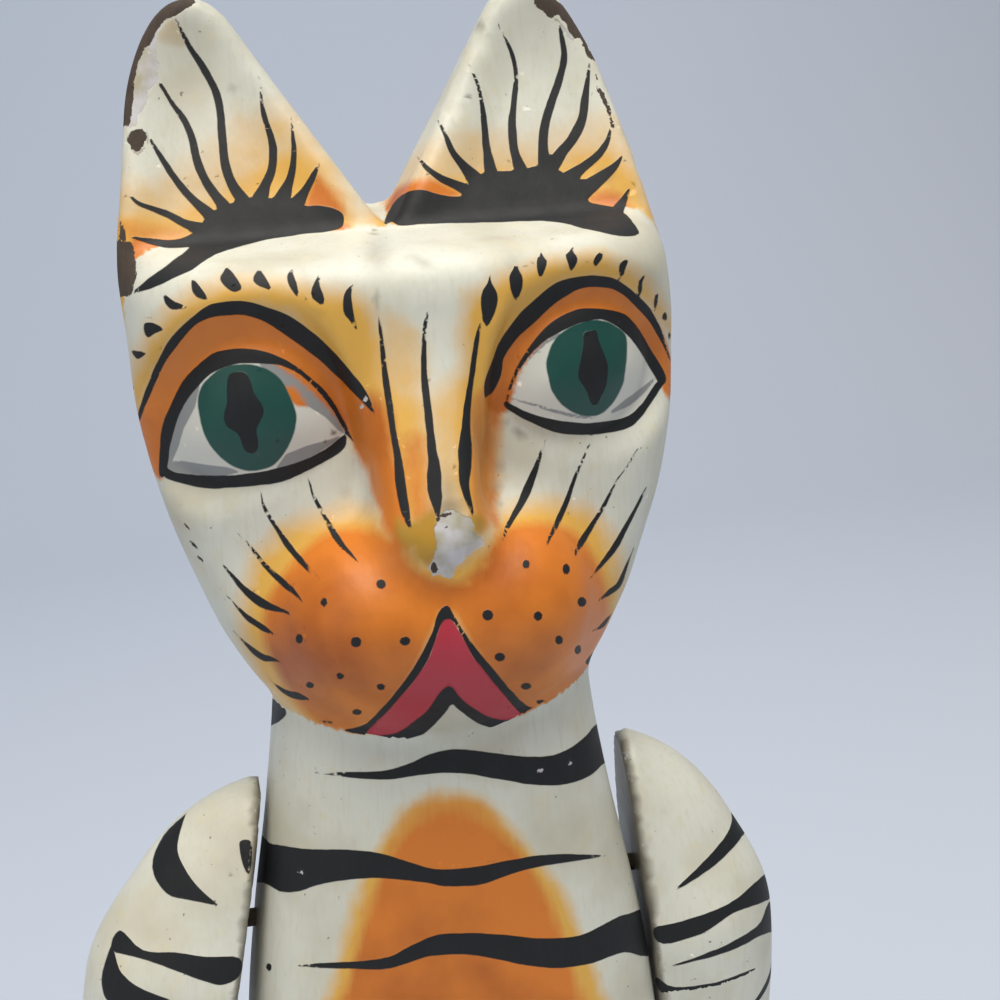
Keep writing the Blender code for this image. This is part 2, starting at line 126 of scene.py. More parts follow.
def taper(p: Array, start: tuple, end: tuple, start_radius: float, end_radius: float) -> Array:
    """The distance to a round bar between two points, with its own radius at each end."""
    first, last = np.array(start), np.array(end)
    along = last - first
    t = np.clip((p - first) @ along / (along @ along), 0.0, 1.0)
    gap = np.linalg.norm(p - first - t[:, None] * along, axis=1)
    return gap - (start_radius + (end_radius - start_radius) * t)


@dataclass(frozen=True)
class Column:
    """A column whose section at each height is a superellipse, flatter than an oval."""

    heights: tuple[float, ...]
    half_widths: tuple[float, ...]
    fronts: tuple[float, ...]
    backs: tuple[float, ...]
    power: float

    def depth(self, p: Array) -> Array:
        """About the distance from points to the column's surface, negative inside."""
        x, y, z = p.T
        stations = np.array(self.heights)
        widths = np.array(self.half_widths)
        width = curve_through(z, stations, widths)
        front = curve_through(z, stations, np.array(self.fronts))
        back = curve_through(z, stations, np.array(self.backs))
        deep = np.where(y < 0.0, front, back)
        size = (np.abs(x / width) ** self.power + np.abs(y / deep) ** self.power) ** (1.0 / self.power)
        size = np.maximum(size, 1e-6)
        lean = curve_through(z + 0.5, stations, widths) - curve_through(z - 0.5, stations, widths)
        return np.hypot(x, y) * (1.0 - 1.0 / size) / np.sqrt(1.0 + lean**2)


@dataclass(frozen=True)
class Eye:
    """One carved eye: its middle, how far the upper lid arches up, and how far the lower lid sags."""

    across: float
    up: float
    top: float
    low: float
    half_width: float = 17.6

    def edge(self, p: Array) -> Array:
        """About the distance, in the face's plane, to the eye's edge, negative inside."""
        ex = p[:, 0] - self.across
        ez = p[:, 2] - self.up - 0.07 * ex
        q = np.column_stack([ex / self.half_width, ez / self.top])
        length = np.linalg.norm(q, axis=1)
        steep = np.hypot(q[:, 0] / self.half_width, q[:, 1] / self.top)
        arch = length * (length - 1.0) / np.maximum(steep, 1e-3)
        bow_radius = (self.half_width**2 + self.low**2) / (2.0 * self.low)
        bow = np.hypot(ex, ez - (bow_radius - self.low)) - bow_radius
        return keep(arch, bow, 3.0)


@dataclass(frozen=True)
class CatForm:
    """The whole carving from ears to soles as one smooth form. Heights start at the base's top."""

    neck_height: float = 288.0
    eye_height: float = 72.0
    head_roll: float = math.radians(-2.0)
    left_eye: Eye = Eye(-32.2, -6.0, 21.5, 7.0)
    right_eye: Eye = Eye(33.4, -1.0, 17.5, 9.5)
    skull: Column = Column(
        (-80.0, -70.0, -60.0, -48.0, -34.0, -18.0, 0.0, 16.0, 30.0, 44.0),
        (13.0, 27.5, 36.5, 43.5, 48.5, 52.8, 55.5, 55.5, 54.0, 53.0),
        (14.0, 24.0, 29.0, 30.0, 28.0, 27.0, 27.5, 28.0, 27.5, 26.0),
        (12.0, 20.0, 25.0, 29.0, 33.0, 36.0, 38.0, 37.0, 34.0, 30.0),
        2.7,
    )
    trunk: Column = Column(
        (0.0, 50.0, 88.0, 118.0, 143.0, 168.0, 193.0, 213.0, 238.0, 268.0, 296.0, 328.0),
        (40.0, 43.0, 45.0, 46.0, 46.6, 47.0, 46.9, 46.2, 43.1, 38.0, 34.3, 33.0),
        (20.0, 23.0, 28.0, 34.0, 39.0, 41.0, 39.5, 37.0, 34.0, 31.0, 28.5, 26.0),
        (24.0, 27.0, 33.0, 37.5, 40.0, 39.0, 36.0, 34.0, 31.5, 29.0, 27.5, 26.0),
        3.0,
    )
    tail_points: tuple[tuple[float, float, float], ...] = (
        (0.0, 32.0, 158.0), (0.0, 34.5, 140.0), (0.0, 35.5, 122.0), (0.5, 35.5, 104.0), (1.5, 35.0, 86.0),
        (3.5, 34.0, 68.0), (6.5, 33.5, 51.0), (11.0, 34.0, 36.0), (17.0, 35.5, 23.5), (24.5, 36.5, 14.0),
        (32.5, 35.5, 10.0), (39.0, 30.5, 9.0), (42.0, 22.0, 9.0), (41.5, 13.0, 9.0),
    )
    tail_radii: tuple[float, ...] = (8.0, 10.0, 11.0, 11.2, 11.0, 10.8, 10.5, 10.2, 10.0, 9.8, 9.5, 9.0, 8.5, 7.5)
    ear_edges: tuple[tuple[tuple[float, float], float], ...] = (
        ((55.3, 25.0), 8.0), ((55.3, 25.0), -16.0), ((51.6, 50.0), 17.0), ((46.0, 70.0), 38.0), ((12.2, 52.0), 148.7),
    )
    ear_top: float = 81.5
    ear_foot: float = 6.0
    ear_hollow: float = 1.6
    bridge_heights: tuple[float, ...] = (-40.0, -25.0, -5.0, 10.0, 22.0)
    bridge_half_widths: tuple[float, ...] = (8.5, 9.5, 11.5, 14.0, 19.0)
    socket_depth: float = 5.0
    lid_groove: float = 0.8
    eyeball_rise: float = 3.4
    nose_top: tuple[float, float, float] = (0.5, -15.0, 16.0)
    nose_tip: tuple[float, float, float] = (-1.0, -33.5, -20.0)
    nose_radii: tuple[float, float] = (12.5, 9.5)
    muzzle_middle: tuple[float, float, float] = (0.0, -17.0, -43.0)
    muzzle_radii: tuple[float, float, float] = (31.0, 25.5, 24.0)
    lobe_middle: tuple[float, float, float] = (14.0, -23.0, -40.5)
    lobe_radii: tuple[float, float, float] = (17.5, 20.5, 18.0)
    foot_middle: tuple[float, float, float] = (22.5, -17.0, 6.0)
    foot_radii: tuple[float, float, float] = (20.5, 37.0, 19.0)
    toe_grooves: tuple[float, float] = (16.5, 28.5)
    toe_groove_depth: float = 1.8
    leg_parting: float = 13.0
    cheek_fullness: tuple[float, float] = (-1.1, 2.8)
    ear_fullness: tuple[float, float] = (0.6, 2.7)
    left_ear_tip_fullness: float = 1.8
    flank_fullness: float = 2.0

    def turn(self) -> Array:
        """The head's rotation matrix."""
        return np.array(Matrix.Rotation(self.head_roll, 3, "Y"))

    def eyes(self) -> Array:
        """The origin of the head's own frame, in the cat's."""
        return np.array([0.0, 0.0, self.neck_height]) + self.turn() @ np.array([0.0, 0.0, self.eye_height])

    def in_head(self, p: Array) -> Array:
        """Points of the cat as the head sees them."""
        return (p - self.eyes()) @ self.turn()

    def ear(self, p: Array) -> Array:
        """Both ears: leaf-shaped blades with hollowed fronts that lean back."""
        y, z = p[:, 1], p[:, 2]
        left = self.ear_fullness[0] + self.left_ear_tip_fullness * ramp(z, 40.0, 75.0)
        x = fuller(p[:, 0], left, self.ear_fullness[1], 25.0, 45.0)
        outline = z - self.ear_top
        for (ex, ez), degrees in self.ear_edges:
            turn = math.radians(degrees)
            outline = keep(outline, (x - ex) * math.cos(turn) + (z - ez) * math.sin(turn), 5.0)
        outline = keep(outline, self.ear_foot - z, 4.0)
        middle = 15.0 + 0.04 * (z - 20.0)
        half = 10.5 - 6.0 * ramp(z, 20.0, 78.0)
        front = 18.5 - 13.5 * ramp(z, 22.0, 76.0)
        hollow = self.ear_hollow * ramp(-outline, 2.0, 12.0) * ramp(z, 30.0, 44.0)
        blade = np.where(y < middle, middle - y - front + hollow, y - middle - half)
        return keep(outline, blade, 3.0)

    def face_relief(self, p: Array) -> Array:
        """How much wood is cut away from the front of the skull, or left on where it is negative."""
        x, z = np.abs(p[:, 0]), p[:, 2]
        front = ramp(-p[:, 1], 2.0, 14.0)
        edge = np.where(p[:, 0] < 0.0, self.left_eye.edge(p), self.right_eye.edge(p))
        bridge = curve_through(z, np.array(self.bridge_heights), np.array(self.bridge_half_widths))
        beside = ramp(x, bridge - 1.0, bridge + 2.5)
        under_brow = ramp(edge, 10.5, 1.0)
        cheek = ramp(z, 4.0, -10.0) * ramp(x, 54.0, 30.0) * ramp(z, -46.0, -24.0)
        socket = -self.socket_depth * beside * join(-under_brow * ramp(z, -30.0, -12.0), -0.9 * cheek, 0.4)
        groove = self.lid_groove * np.exp(-((edge / 1.5) ** 2))
        ball = self.eyeball_rise * ramp(-edge, -0.5, 12.0)
        return front * (socket + groove - ball)

    def face(self, p: Array) -> Array:
        """The skull with its muzzle and nose, in the head's own frame."""
        x, y, z = p.T
        right = self.cheek_fullness[1] * ramp(z, -62.0, -20.0)
        across = fuller(x, self.cheek_fullness[0], right, 15.0, 45.0)
        skull = self.skull.depth(np.column_stack([across, y, z]))
        skull = keep(skull, z - 30.0 - 0.16 * (y + 22.0), 9.0)
        skull = keep(skull, -77.0 - z, 8.0)
        skull = skull + self.face_relief(p)
        nose = taper(p, self.nose_top, self.nose_tip, *self.nose_radii)
        nose = keep(nose, -y - 26.0 - 0.43 * (16.0 - z), 2.5)
        nose = keep(nose, -28.5 - z - 0.25 * (y + 44.0), 1.2)
        skull = join(skull, nose, 3.5)
        sides = np.column_stack([np.abs(x), y, z])
        muzzle = ellipsoid(p, self.muzzle_middle, self.muzzle_radii)
        lobe = ellipsoid(sides, self.lobe_middle, self.lobe_radii)
        return join(skull, join(muzzle, lobe, 7.0), 9.0)

    def head(self, p: Array) -> Array:
        """The face with the ears."""
        return join(self.face(p), self.ear(p), 2.5)

    def flank(self, height: Array) -> Array:
        """How much fuller the torso is on the right at a height."""
        return self.flank_fullness * ramp(height, 300.0, 225.0)

    def torso(self, p: Array) -> Array:
        """The torso and legs in one column, parted below the hips by a groove in front and behind."""
        across = fuller(p[:, 0], 0.0, self.flank(p[:, 2]), 15.0, 35.0)
        trunk = self.trunk.depth(np.column_stack([across, p[:, 1], p[:, 2]]))
        trunk = keep(trunk, p[:, 2] - 326.0, 4.0)
        parting = self.leg_parting * np.exp(-((p[:, 0] / 6.5) ** 2))
        return trunk + parting * ramp(p[:, 2], 124.0, 84.0)

    def tail(self, p: Array) -> Array:
        """The tail down the back and round on the base."""
        tail = np.full(len(p), 1e3)
        for i in range(len(self.tail_radii) - 1):
            tail = np.minimum(tail, taper(p, *self.tail_points[i:i + 2], *self.tail_radii[i:i + 2]))
        return tail

    def foot(self, p: Array) -> Array:
        """Both feet, with grooves between the toes."""
        sides = np.column_stack([np.abs(p[:, 0]), p[:, 1], p[:, 2]])
        foot = ellipsoid(sides, self.foot_middle, self.foot_radii)
        toes = sum(np.exp(-(((sides[:, 0] - across) / 1.5) ** 2)) for across in self.toe_grooves)
        return foot + self.toe_groove_depth * toes * ramp(-p[:, 1], 30.0, 42.0)

    def slab(self, p: Array) -> Array:
        """The base, a low block with rounded corners and a worn edge."""
        half_x, half_y = BASE_HALF
        x, y, z = p.T
        qx = np.abs(x) - half_x + BASE_CORNER
        qy = np.abs(y) - half_y + BASE_CORNER
        beyond = np.hypot(np.maximum(qx, 0.0), np.maximum(qy, 0.0))
        round_corner = beyond + np.minimum(np.maximum(qx, qy), 0.0)
        block = keep(round_corner - BASE_CORNER, z, BASE_EDGE)
        return np.maximum(block, -BASE_THICKNESS - z)

    def chin_crease(self, p: Array) -> Array:
        """0 where the head meets the neck, below 0 on the head and above 0 on the neck."""
        return self.head(self.in_head(p)) - self.torso(p)

    def depth(self, p: Array) -> Array:
        """The whole carving on its base."""
        form = join(self.torso(p), self.foot(p), 6.0)
        form = join(form, self.tail(p), 4.0)
        form = join(form, self.head(self.in_head(p)), 3.0)
        form = keep(form, -SOLE_DEPTH - p[:, 2], 1.0)
        return join(form, self.slab(p), 0.6)


@dataclass(frozen=True)
class ArmForm:
    """One arm in the cat's frame: a half-round limb with a flat inner face and a paw."""

    side: Side
    splay: float
    twist: float
    gap: float
    flank: float
    upper_middle: tuple[float, float, float] = (-8.0, 0.0, -54.0)
    upper_radii: tuple[float, float, float] = (38.0, 21.0, 54.0)
    elbow: tuple[float, float, float] = (11.5, 0.0, -50.0)
    wrist: tuple[float, float, float] = (12.0, -2.0, -112.0)
    forearm_radii: tuple[float, float] = (18.0, 13.5)
    paw_middle: tuple[float, float, float] = (12.0, -7.0, -130.0)
    paw_radii: tuple[float, float, float] = (15.5, 18.0, 21.0)
    toe_grooves: tuple[float, float] = (-4.0, -13.0)
    toe_groove_depth: float = 1.8

    def place(self) -> Array:
        """The 4 by 4 matrix from the arm's own frame, with the pin through its origin, to the cat's."""
        way = self.side.value
        at = Matrix.Translation((way * (self.flank + self.gap), 0.0, PIN_HEIGHT))
        hung = at @ Matrix.Rotation(-way * self.splay, 4, "Y") @ Matrix.Diagonal((way, 1.0, 1.0, 1.0))
        return np.array(hung @ Matrix.Rotation(-self.twist, 4, "Z"))

    def own(self, p: Array) -> Array:
        """Points of the cat as the arm sees them."""
        back = np.linalg.inv(self.place())
        return p @ back[:3, :3].T + back[:3, 3]

    def depth(self, p: Array) -> Array:
        """About the distance to the arm's surface, negative inside."""
        q = self.own(p)
        x, y = q[:, 0], q[:, 1]
        z = q[:, 2] - PIN_UNDER_SHOULDER
        across = np.column_stack([x, y + 12.0 * ramp(z, -70.0, -150.0), z])
        upper = ellipsoid(across, self.upper_middle, self.upper_radii)
        middle = taper(across, self.elbow, self.wrist, *self.forearm_radii)
        paw = ellipsoid(across, self.paw_middle, self.paw_radii)
        toes = sum(np.exp(-(((across[:, 1] - groove) / 1.4) ** 2)) for groove in self.toe_grooves)
        paw = paw + self.toe_groove_depth * toes * ramp(z, -132.0, -142.0)
        return keep(join(join(upper, middle, 10.0), paw, 8.0), -x, 1.6)


@dataclass(frozen=True)
class PhotoCamera:
    """The camera that took the picture, which the brush marks are read through. Pixels are of 1000 by 1000."""

    azimuth: float = -12.0
    elevation: float = 14.3
    roll: float = -2.1
    distance: float = 300.0
    target: tuple[float, float, float] = (17.6, 0.0, 345.6)
    focal: float = 1370.0
    image: float = 1000.0

    def axes(self) -> tuple[Array, Array, Array, Array]:
        """The camera's place in mm above the base's underside, and its forward, right and up directions."""
        az, el, roll = (math.radians(v) for v in (self.azimuth, self.elevation, self.roll))
        target = np.array(self.target)
        way = np.array([math.sin(az) * math.cos(el), -math.cos(az) * math.cos(el), math.sin(el)])
        right = np.cross(-way, [0.0, 0.0, 1.0])
        right /= np.linalg.norm(right)
        up = np.cross(right, -way)
        turned = right * math.cos(roll) + up * math.sin(roll)
        return target + self.distance * way, -way, turned, up * math.cos(roll) - right * math.sin(roll)

    def project(self, p: Array) -> tuple[Array, Array, Array]:
        """Where points of the cat fall in the picture.

        Args:
            p: points in mm, with heights from the base's top.

        Returns:
            Their pixels, their scale in pixels a mm, and the unit directions to the camera.
        """
        place, forward, right, up = self.axes()
        to_point = p + np.array([0.0, 0.0, BASE_THICKNESS]) - place
        reach = to_point @ forward
        half = 0.5 * self.image
        pixels = np.column_stack([
            half + self.focal * (to_point @ right) / reach,
            half - self.focal * (to_point @ up) / reach,
        ])
        towards = -to_point / np.linalg.norm(to_point, axis=1, keepdims=True)
        return pixels, self.focal / reach, towards

    def build(self) -> None:
        """Adds the scene's camera."""
        place, forward, right, up = self.axes()
        data = bpy.data.cameras.new("Photo_camera")
        data.sensor_width = 36.0
        data.lens = 36.0 * self.focal / self.image
        data.clip_start = 0.01
        data.clip_end = 20.0
        camera = bpy.data.objects.new("Photo_camera", data)
        turn = np.column_stack([right, up, -forward]).tolist()
        matrix = Matrix([[*row, 0.0] for row in turn] + [[0.0, 0.0, 0.0, 1.0]])
        matrix.translation = Vector(place * MM)
        camera.matrix_world = matrix
        bpy.context.scene.collection.objects.link(camera)
        bpy.context.scene.camera = camera


def smooth_line(points: tuple[Pixel, ...], closed: bool = False, steps: int = 4) -> Array:
    """A Catmull-Rom curve through points.

    Args:
        points: the points that the curve passes through.
        closed: whether the last point leads back to the first.
        steps: how many stretches each span is cut into.

    Returns:
        The curve's points in order, without a repeated end where it is closed.
    """
    p = np.array(points, dtype=float)
    count = len(p)
    if closed:
        around = np.vstack([p[-1], p, p[0], p[1]])
        spans = count
    else:
        around = np.vstack([2 * p[0] - p[1], p, 2 * p[-1] - p[-2]])
        spans = count - 1
    t = np.arange(steps)[:, None] / steps
    curve = []
    for i in range(spans):
        a, b, c, d = around[i], around[i + 1], around[i + 2], around[i + 3]
        bend = (2 * a - 5 * b + 4 * c - d) * t**2 + (3 * b - a - 3 * c + d) * t**3
        curve.append(0.5 * (2 * b + (c - a) * t + bend))
    if not closed:
        curve.append(p[-1:])
    return np.vstack(curve)


def near_box(at: Array, line: Array, margin: float) -> Array:
    """Which points lie within a margin of a line's bounding box."""
    low, high = line.min(axis=0) - margin, line.max(axis=0) + margin
    return ((at > low) & (at < high)).all(axis=1)


@dataclass(frozen=True)
class Stroke:
    """One pull of a brush: the line of its middle, and its full width at even steps along it."""

    path: tuple[Pixel, ...]
    widths: tuple[float, ...] = (3.0, 8.0, 9.0, 6.0)
    soft: float = 0.4
    strength: float = 1.0

    def distance(self, at: Array, margin: float) -> Array:
        """Signed distance to the stroke's edge, negative inside, and far off beyond the margin."""
        line = smooth_line(self.path)
        run = np.concatenate([[0.0], np.cumsum(np.linalg.norm(np.diff(line, axis=0), axis=1))])
        half = 0.5 * np.interp(run / run[-1], np.linspace(0.0, 1.0, len(self.widths)), self.widths)
        result = np.full(len(at), margin)
        near = near_box(at, line, margin)
        q = at[near]
        best = np.full(len(q), margin)
        for i in range(len(line) - 1):
            along = line[i + 1] - line[i]
            t = np.clip((q - line[i]) @ along / max(along @ along, 1e-9), 0.0, 1.0)
            gap = np.linalg.norm(q - line[i] - t[:, None] * along, axis=1)
            best = np.minimum(best, gap - half[i] - (half[i + 1] - half[i]) * t)
        result[near] = best
        return result


@dataclass(frozen=True)
class Patch:
    """A filled area of paint inside a closed outline, with an edge that may fade over some mm to either side."""

    outline: tuple[Pixel, ...]
    rounded: bool = True
    soft: float = 0.4
    strength: float = 1.0

    def distance(self, at: Array, margin: float) -> Array:
        """Signed distance to the patch's edge, negative inside, and far off beyond the margin."""
        line = smooth_line(self.outline, closed=True, steps=4 if self.rounded else 1)
        result = np.full(len(at), margin)
        near = near_box(at, line, margin)
        q = at[near]
        best = np.full(len(q), margin)
        inside = np.zeros(len(q), dtype=bool)
        ends = np.roll(line, -1, axis=0)
        for start, end in zip(line, ends):
            along = end - start
            t = np.clip((q - start) @ along / max(along @ along, 1e-9), 0.0, 1.0)
            best = np.minimum(best, np.linalg.norm(q - start - t[:, None] * along, axis=1))
            if start[1] != end[1]:
                crosses = (start[1] > q[:, 1]) != (end[1] > q[:, 1])
                reach = start[0] + (q[:, 1] - start[1]) * along[0] / along[1]
                inside ^= crosses & (q[:, 0] < reach)
        result[near] = np.where(inside, -best, best)
        return result


@dataclass(frozen=True)
class Dot:
    """A round dab of the brush."""

    centre: Pixel
    radii: tuple[float, float] = (4.5, 4.5)
    soft: float = 0.4
    strength: float = 1.0

    def distance(self, at: Array, margin: float) -> Array:
        """Signed distance to the dab's edge, negative inside."""
        q = (at - np.array(self.centre)) / np.array(self.radii)
        return np.minimum((np.linalg.norm(q, axis=1) - 1.0) * min(self.radii), margin)


Mark = Stroke | Patch | Dot


def ribbon(outer: tuple[Pixel, ...], inner: tuple[Pixel, ...]) -> Patch:
    """A patch between two lines that run the same way."""
    return Patch(outer + tuple(reversed(inner)))


class Layer(Enum):
    """The layers of paint, wear and painted shade, each kept on the skins as distances in mm or as a share of full
    strength.
    """

    INK = "ink"
    IRIS = "iris"
    LIP = "lip"
    EYEBALL = "eyeball"
    # Painted shade: grey inside the eyelids and corners, where the lids shade the eyeballs.
    EYE_GREY = "eye_grey"
    WOOD = "wood"
    PRIMER = "primer"
    ORANGE = "orange"
    AMBER = "amber"
    OLIVE = "olive"
    # Smudges, stains, dirt and cracks, with painted shade over the ear fronts.
    GRIME = "grime"
    HOLLOW = "hollow"
    EDGE = "edge"


Layers = dict[Layer, list[Mark]]
WASHES = (Layer.ORANGE, Layer.AMBER, Layer.OLIVE, Layer.GRIME)


@dataclass(frozen=True)
class EarPaint:
    """The ears: thin strokes that fan from a black mass over the brow, amber washes, smudges with painted shade over
    their fronts, and chipped outer edges.
    """

    left_fan: tuple[Stroke, ...] = (
        Stroke(((175, 17), (188, 44), (203, 67), (215, 90), (220, 109), (222, 134), (225, 163), (232, 184),
            (244, 202)), (1.5, 4.5, 6.5, 7.5, 7.5, 7.5, 8.5, 10.0, 13.0)),
        Stroke(((160, 84), (171, 101), (184, 120), (192, 138), (196, 157), (203, 176), (215, 195), (228, 210)),
            (3.5, 5.0, 6.0, 7.5, 8.0, 8.5, 9.5, 13.0)),
        Stroke(((150, 139), (161, 157), (176, 180), (192, 199), (210, 215)), (3.0, 6.0, 7.0, 8.0, 13.0)),
        Stroke(((128, 193), (138, 203), (154, 209), (169, 215), (184, 223), (201, 229)),
            (1.5, 5.0, 6.5, 7.0, 8.5, 13.0)),
        Stroke(((132, 237), (150, 241), (169, 244), (186, 242), (202, 236)), (2.5, 6.0, 8.0, 10.0, 15.0)),
        Stroke(((261, 80), (261, 96), (264, 115), (270, 134), (273, 149), (272, 168), (266, 184), (259, 202)),
            (0.8, 3.0, 5.5, 7.0, 8.0, 8.5, 10.0, 17.0)),
        Stroke(((291, 117), (293, 138), (294, 153), (291, 176), (282, 199)), (0.8, 4.0, 5.5, 8.0, 17.0)),
        Stroke(((321, 161), (316, 170), (308, 186), (297, 203)), (2.0, 5.5, 8.0, 15.0)),
    )
    left_mass: tuple[Pixel, ...] = (
        (306, 206), (318, 205), (333, 208), (342, 213), (344, 220), (341, 228), (326, 232), (306, 234), (284, 237),
        (261, 241), (238, 247), (222, 252), (207, 259), (192, 270), (176, 277), (161, 284), (146, 290), (133, 293),
        (140, 285), (150, 277), (163, 268), (176, 258), (189, 248), (196, 236), (204, 220), (212, 211), (224, 207),
        (236, 201), (256, 198), (273, 198), (294, 198),
    )
    left_orange: tuple[Patch, ...] = (
        Patch(((132, 240), (160, 243), (192, 246), (172, 264), (150, 277), (135, 288)), soft=0.5),
        Patch(((316, 178), (325, 184), (334, 194), (344, 210), (340, 214), (322, 208), (305, 207)), soft=1.4),
        Patch(((318, 230), (342, 224), (349, 226), (345, 231), (320, 236)), soft=0.6),
        Patch(((122, 222), (150, 226), (186, 232), (190, 244), (130, 240)), soft=2.0, strength=0.55),
    )
    right_fan: tuple[Stroke, ...] = (
        Stroke(((417, 156), (427, 168), (441, 178), (456, 185), (473, 193)), (1.5, 5.5, 7.5, 9.5, 14.0)),
        Stroke(((438, 120), (445, 134), (452, 151), (462, 164), (475, 179)), (0.8, 4.5, 6.5, 8.0, 16.0)),
        Stroke(((468, 63), (476, 80), (481, 98), (484, 122), (486, 145), (491, 174)),
            (0.8, 3.5, 4.8, 6.5, 8.0, 14.0)),
        Stroke(((497, 22), (504, 36), (512, 54), (516, 76), (514, 101), (512, 124), (514, 149), (522, 174)),
            (0.8, 3.0, 4.2, 5.0, 6.5, 7.8, 8.5, 14.0)),
        Stroke(((558, 19), (562, 38), (564, 57), (559, 80), (551, 103), (545, 124), (543, 144), (545, 168)),
            (1.5, 5.0, 7.0, 7.5, 8.5, 9.5, 9.5, 14.0)),
        Stroke(((590, 61), (588, 76), (585, 99), (582, 119), (573, 138), (561, 153), (550, 168)),
            (1.5, 5.0, 7.5, 9.0, 10.5, 11.0, 16.0)),
        Stroke(((611, 127), (607, 142), (598, 155), (582, 168), (567, 180)), (1.5, 6.0, 8.0, 10.0, 16.0)),
        Stroke(((622, 156), (615, 166), (603, 176), (590, 186)), (2.0, 8.0, 12.0, 16.0)),
        Stroke(((629, 189), (623, 201), (616, 213)), (2.0, 7.0, 13.0)),
    )
    right_mass: tuple[Pixel, ...] = (
        (384, 225), (387, 214), (396, 200), (408, 192), (423, 190), (437, 194), (460, 196), (474, 186), (480, 174),
        (494, 171), (508, 171), (524, 169), (540, 166), (558, 170), (572, 178), (592, 180), (596, 190), (588, 201),
        (613, 207), (625, 214), (632, 221), (639, 234), (619, 236), (590, 230), (561, 223), (542, 221), (504, 222),
        (466, 223), (427, 224), (401, 226), (392, 222),
    )
    right_orange: tuple[Patch, ...] = (
        Patch(((384, 214), (388, 200), (400, 187), (425, 179), (441, 183), (460, 195), (440, 198), (410, 198)),
            soft=1.2),
        Patch(((588, 201), (600, 192), (617, 194), (630, 206), (636, 221), (624, 216), (612, 209)), soft=1.5),
        Patch(((620, 236), (640, 234), (641, 243), (633, 241)), soft=0.6),
        Patch(((401, 225), (447, 223), (451, 227), (430, 229), (408, 231)), soft=0.6),
    )
    amber: tuple[Patch, ...] = (
        Patch(((100, 185), (150, 185), (195, 160), (232, 128), (262, 112), (290, 108), (315, 140), (352, 205),
            (352, 262), (100, 320)), soft=6.0, strength=0.55),
        Patch(((100, 218), (160, 208), (205, 196), (240, 170), (275, 150), (300, 140), (320, 160), (350, 205),
            (352, 262), (100, 320)), soft=5.0),
        Patch(((370, 240), (392, 190), (425, 152), (460, 140), (500, 138), (545, 138), (585, 122), (612, 122),
            (650, 180), (665, 260)), soft=6.0, strength=0.55),
        Patch(((372, 240), (396, 196), (430, 178), (470, 166), (520, 158), (560, 152), (600, 142), (628, 160),
            (650, 200), (665, 260)), soft=5.0),
    )
    left_chips: tuple[tuple[Pixel, ...], ...] = (
        ((196, 2), (190, 7), (184, 10), (176, 15), (165, 20), (159, 25), (155, 32), (151, 41), (146, 48), (141, 57),
            (138, 65), (135, 80), (134, 100), (131, 115), (129, 126), (112, 126), (114, 80), (126, 44), (145, 16),
            (165, -6), (186, -8)),
        ((134, 130), (142, 129), (147, 136), (145, 146), (138, 153), (131, 149), (128, 141), (129, 134)),
        ((123, 241), (131, 243), (134, 252), (137, 272), (134, 285), (132, 293), (127, 297), (112, 300), (112, 240)),
        ((120, 222), (124, 226), (127, 236), (123, 241), (118, 240)),
    )
    left_primer: tuple[tuple[Pixel, ...], ...] = (
        ((178, 13), (172, 19), (162, 24), (157, 31), (156, 40), (158, 50), (157, 58), (159, 66), (157, 84),
            (153, 88), (148, 91), (147, 103), (142, 112), (136, 116), (136, 127), (127, 127), (128, 100), (134, 70),
            (145, 45), (156, 26), (168, 14)),
        ((147, 132), (149, 141), (146, 150), (138, 157), (130, 152), (134, 150), (144, 146)),
    )
    right_chips: tuple[tuple[Pixel, ...], ...] = (
        ((533, -6), (535, 5), (544, 13), (552, 19), (558, 15), (564, 22), (571, 33), (575, 38), (579, 37), (583, 45),
            (586, 56), (592, 61), (604, 60), (596, 30), (575, 0), (560, -10)),
    )
    right_edge: Stroke = Stroke(((596, 74), (598, 88), (604, 99), (609, 113), (613, 127)), (1.0, 3.0, 4.5, 3.5, 2.0))
    right_primer: tuple[Pixel, ...] = ((551, 17), (558, 20), (564, 27), (570, 37), (574, 42), (567, 36), (560, 26))
    olive: Patch = Patch(((174, 19), (162, 26), (157, 35), (160, 42), (176, 46), (186, 44), (182, 34)),
        soft=1.2, strength=0.4)
    smudges_and_shade: tuple[Dot, ...] = (
        Dot((233, 88), (6, 5), soft=1.2, strength=0.4), Dot((480, 28), (3, 6), soft=0.5, strength=0.8),
        Dot((605, 176), (9, 7), soft=1.0, strength=0.35), Dot((252, 112), (10, 6), soft=2.5, strength=0.25),
        Dot((256, 160), (4, 5), soft=1.0, strength=0.25), Dot((205, 190), (12, 10), soft=3.0, strength=0.15),
        # Painted shade: the two wide faint dabs darken the front of each ear all over.
        Dot((200, 110), (90, 120), soft=8.0, strength=0.12), Dot((515, 90), (80, 100), soft=8.0, strength=0.12),
    )

    def marks(self) -> Layers:
        """Every mark with an edge on both ears."""
        chips = [Patch(line, rounded=False) for line in self.left_chips + self.right_chips]
        return {
            Layer.INK: [*self.left_fan, *self.right_fan, Patch(self.left_mass), Patch(self.right_mass)],
            Layer.WOOD: [*chips, self.right_edge],
            Layer.PRIMER: [*(Patch(line, rounded=False) for line in self.left_primer), Patch(self.right_primer)],
        }

    def washes(self) -> Layers:
        """Every wash on both ears."""
        return {
            Layer.ORANGE: [*self.left_orange, *self.right_orange],
            Layer.AMBER: list(self.amber),
            Layer.OLIVE: [self.olive],
            Layer.GRIME: list(self.smudges_and_shade),
        }


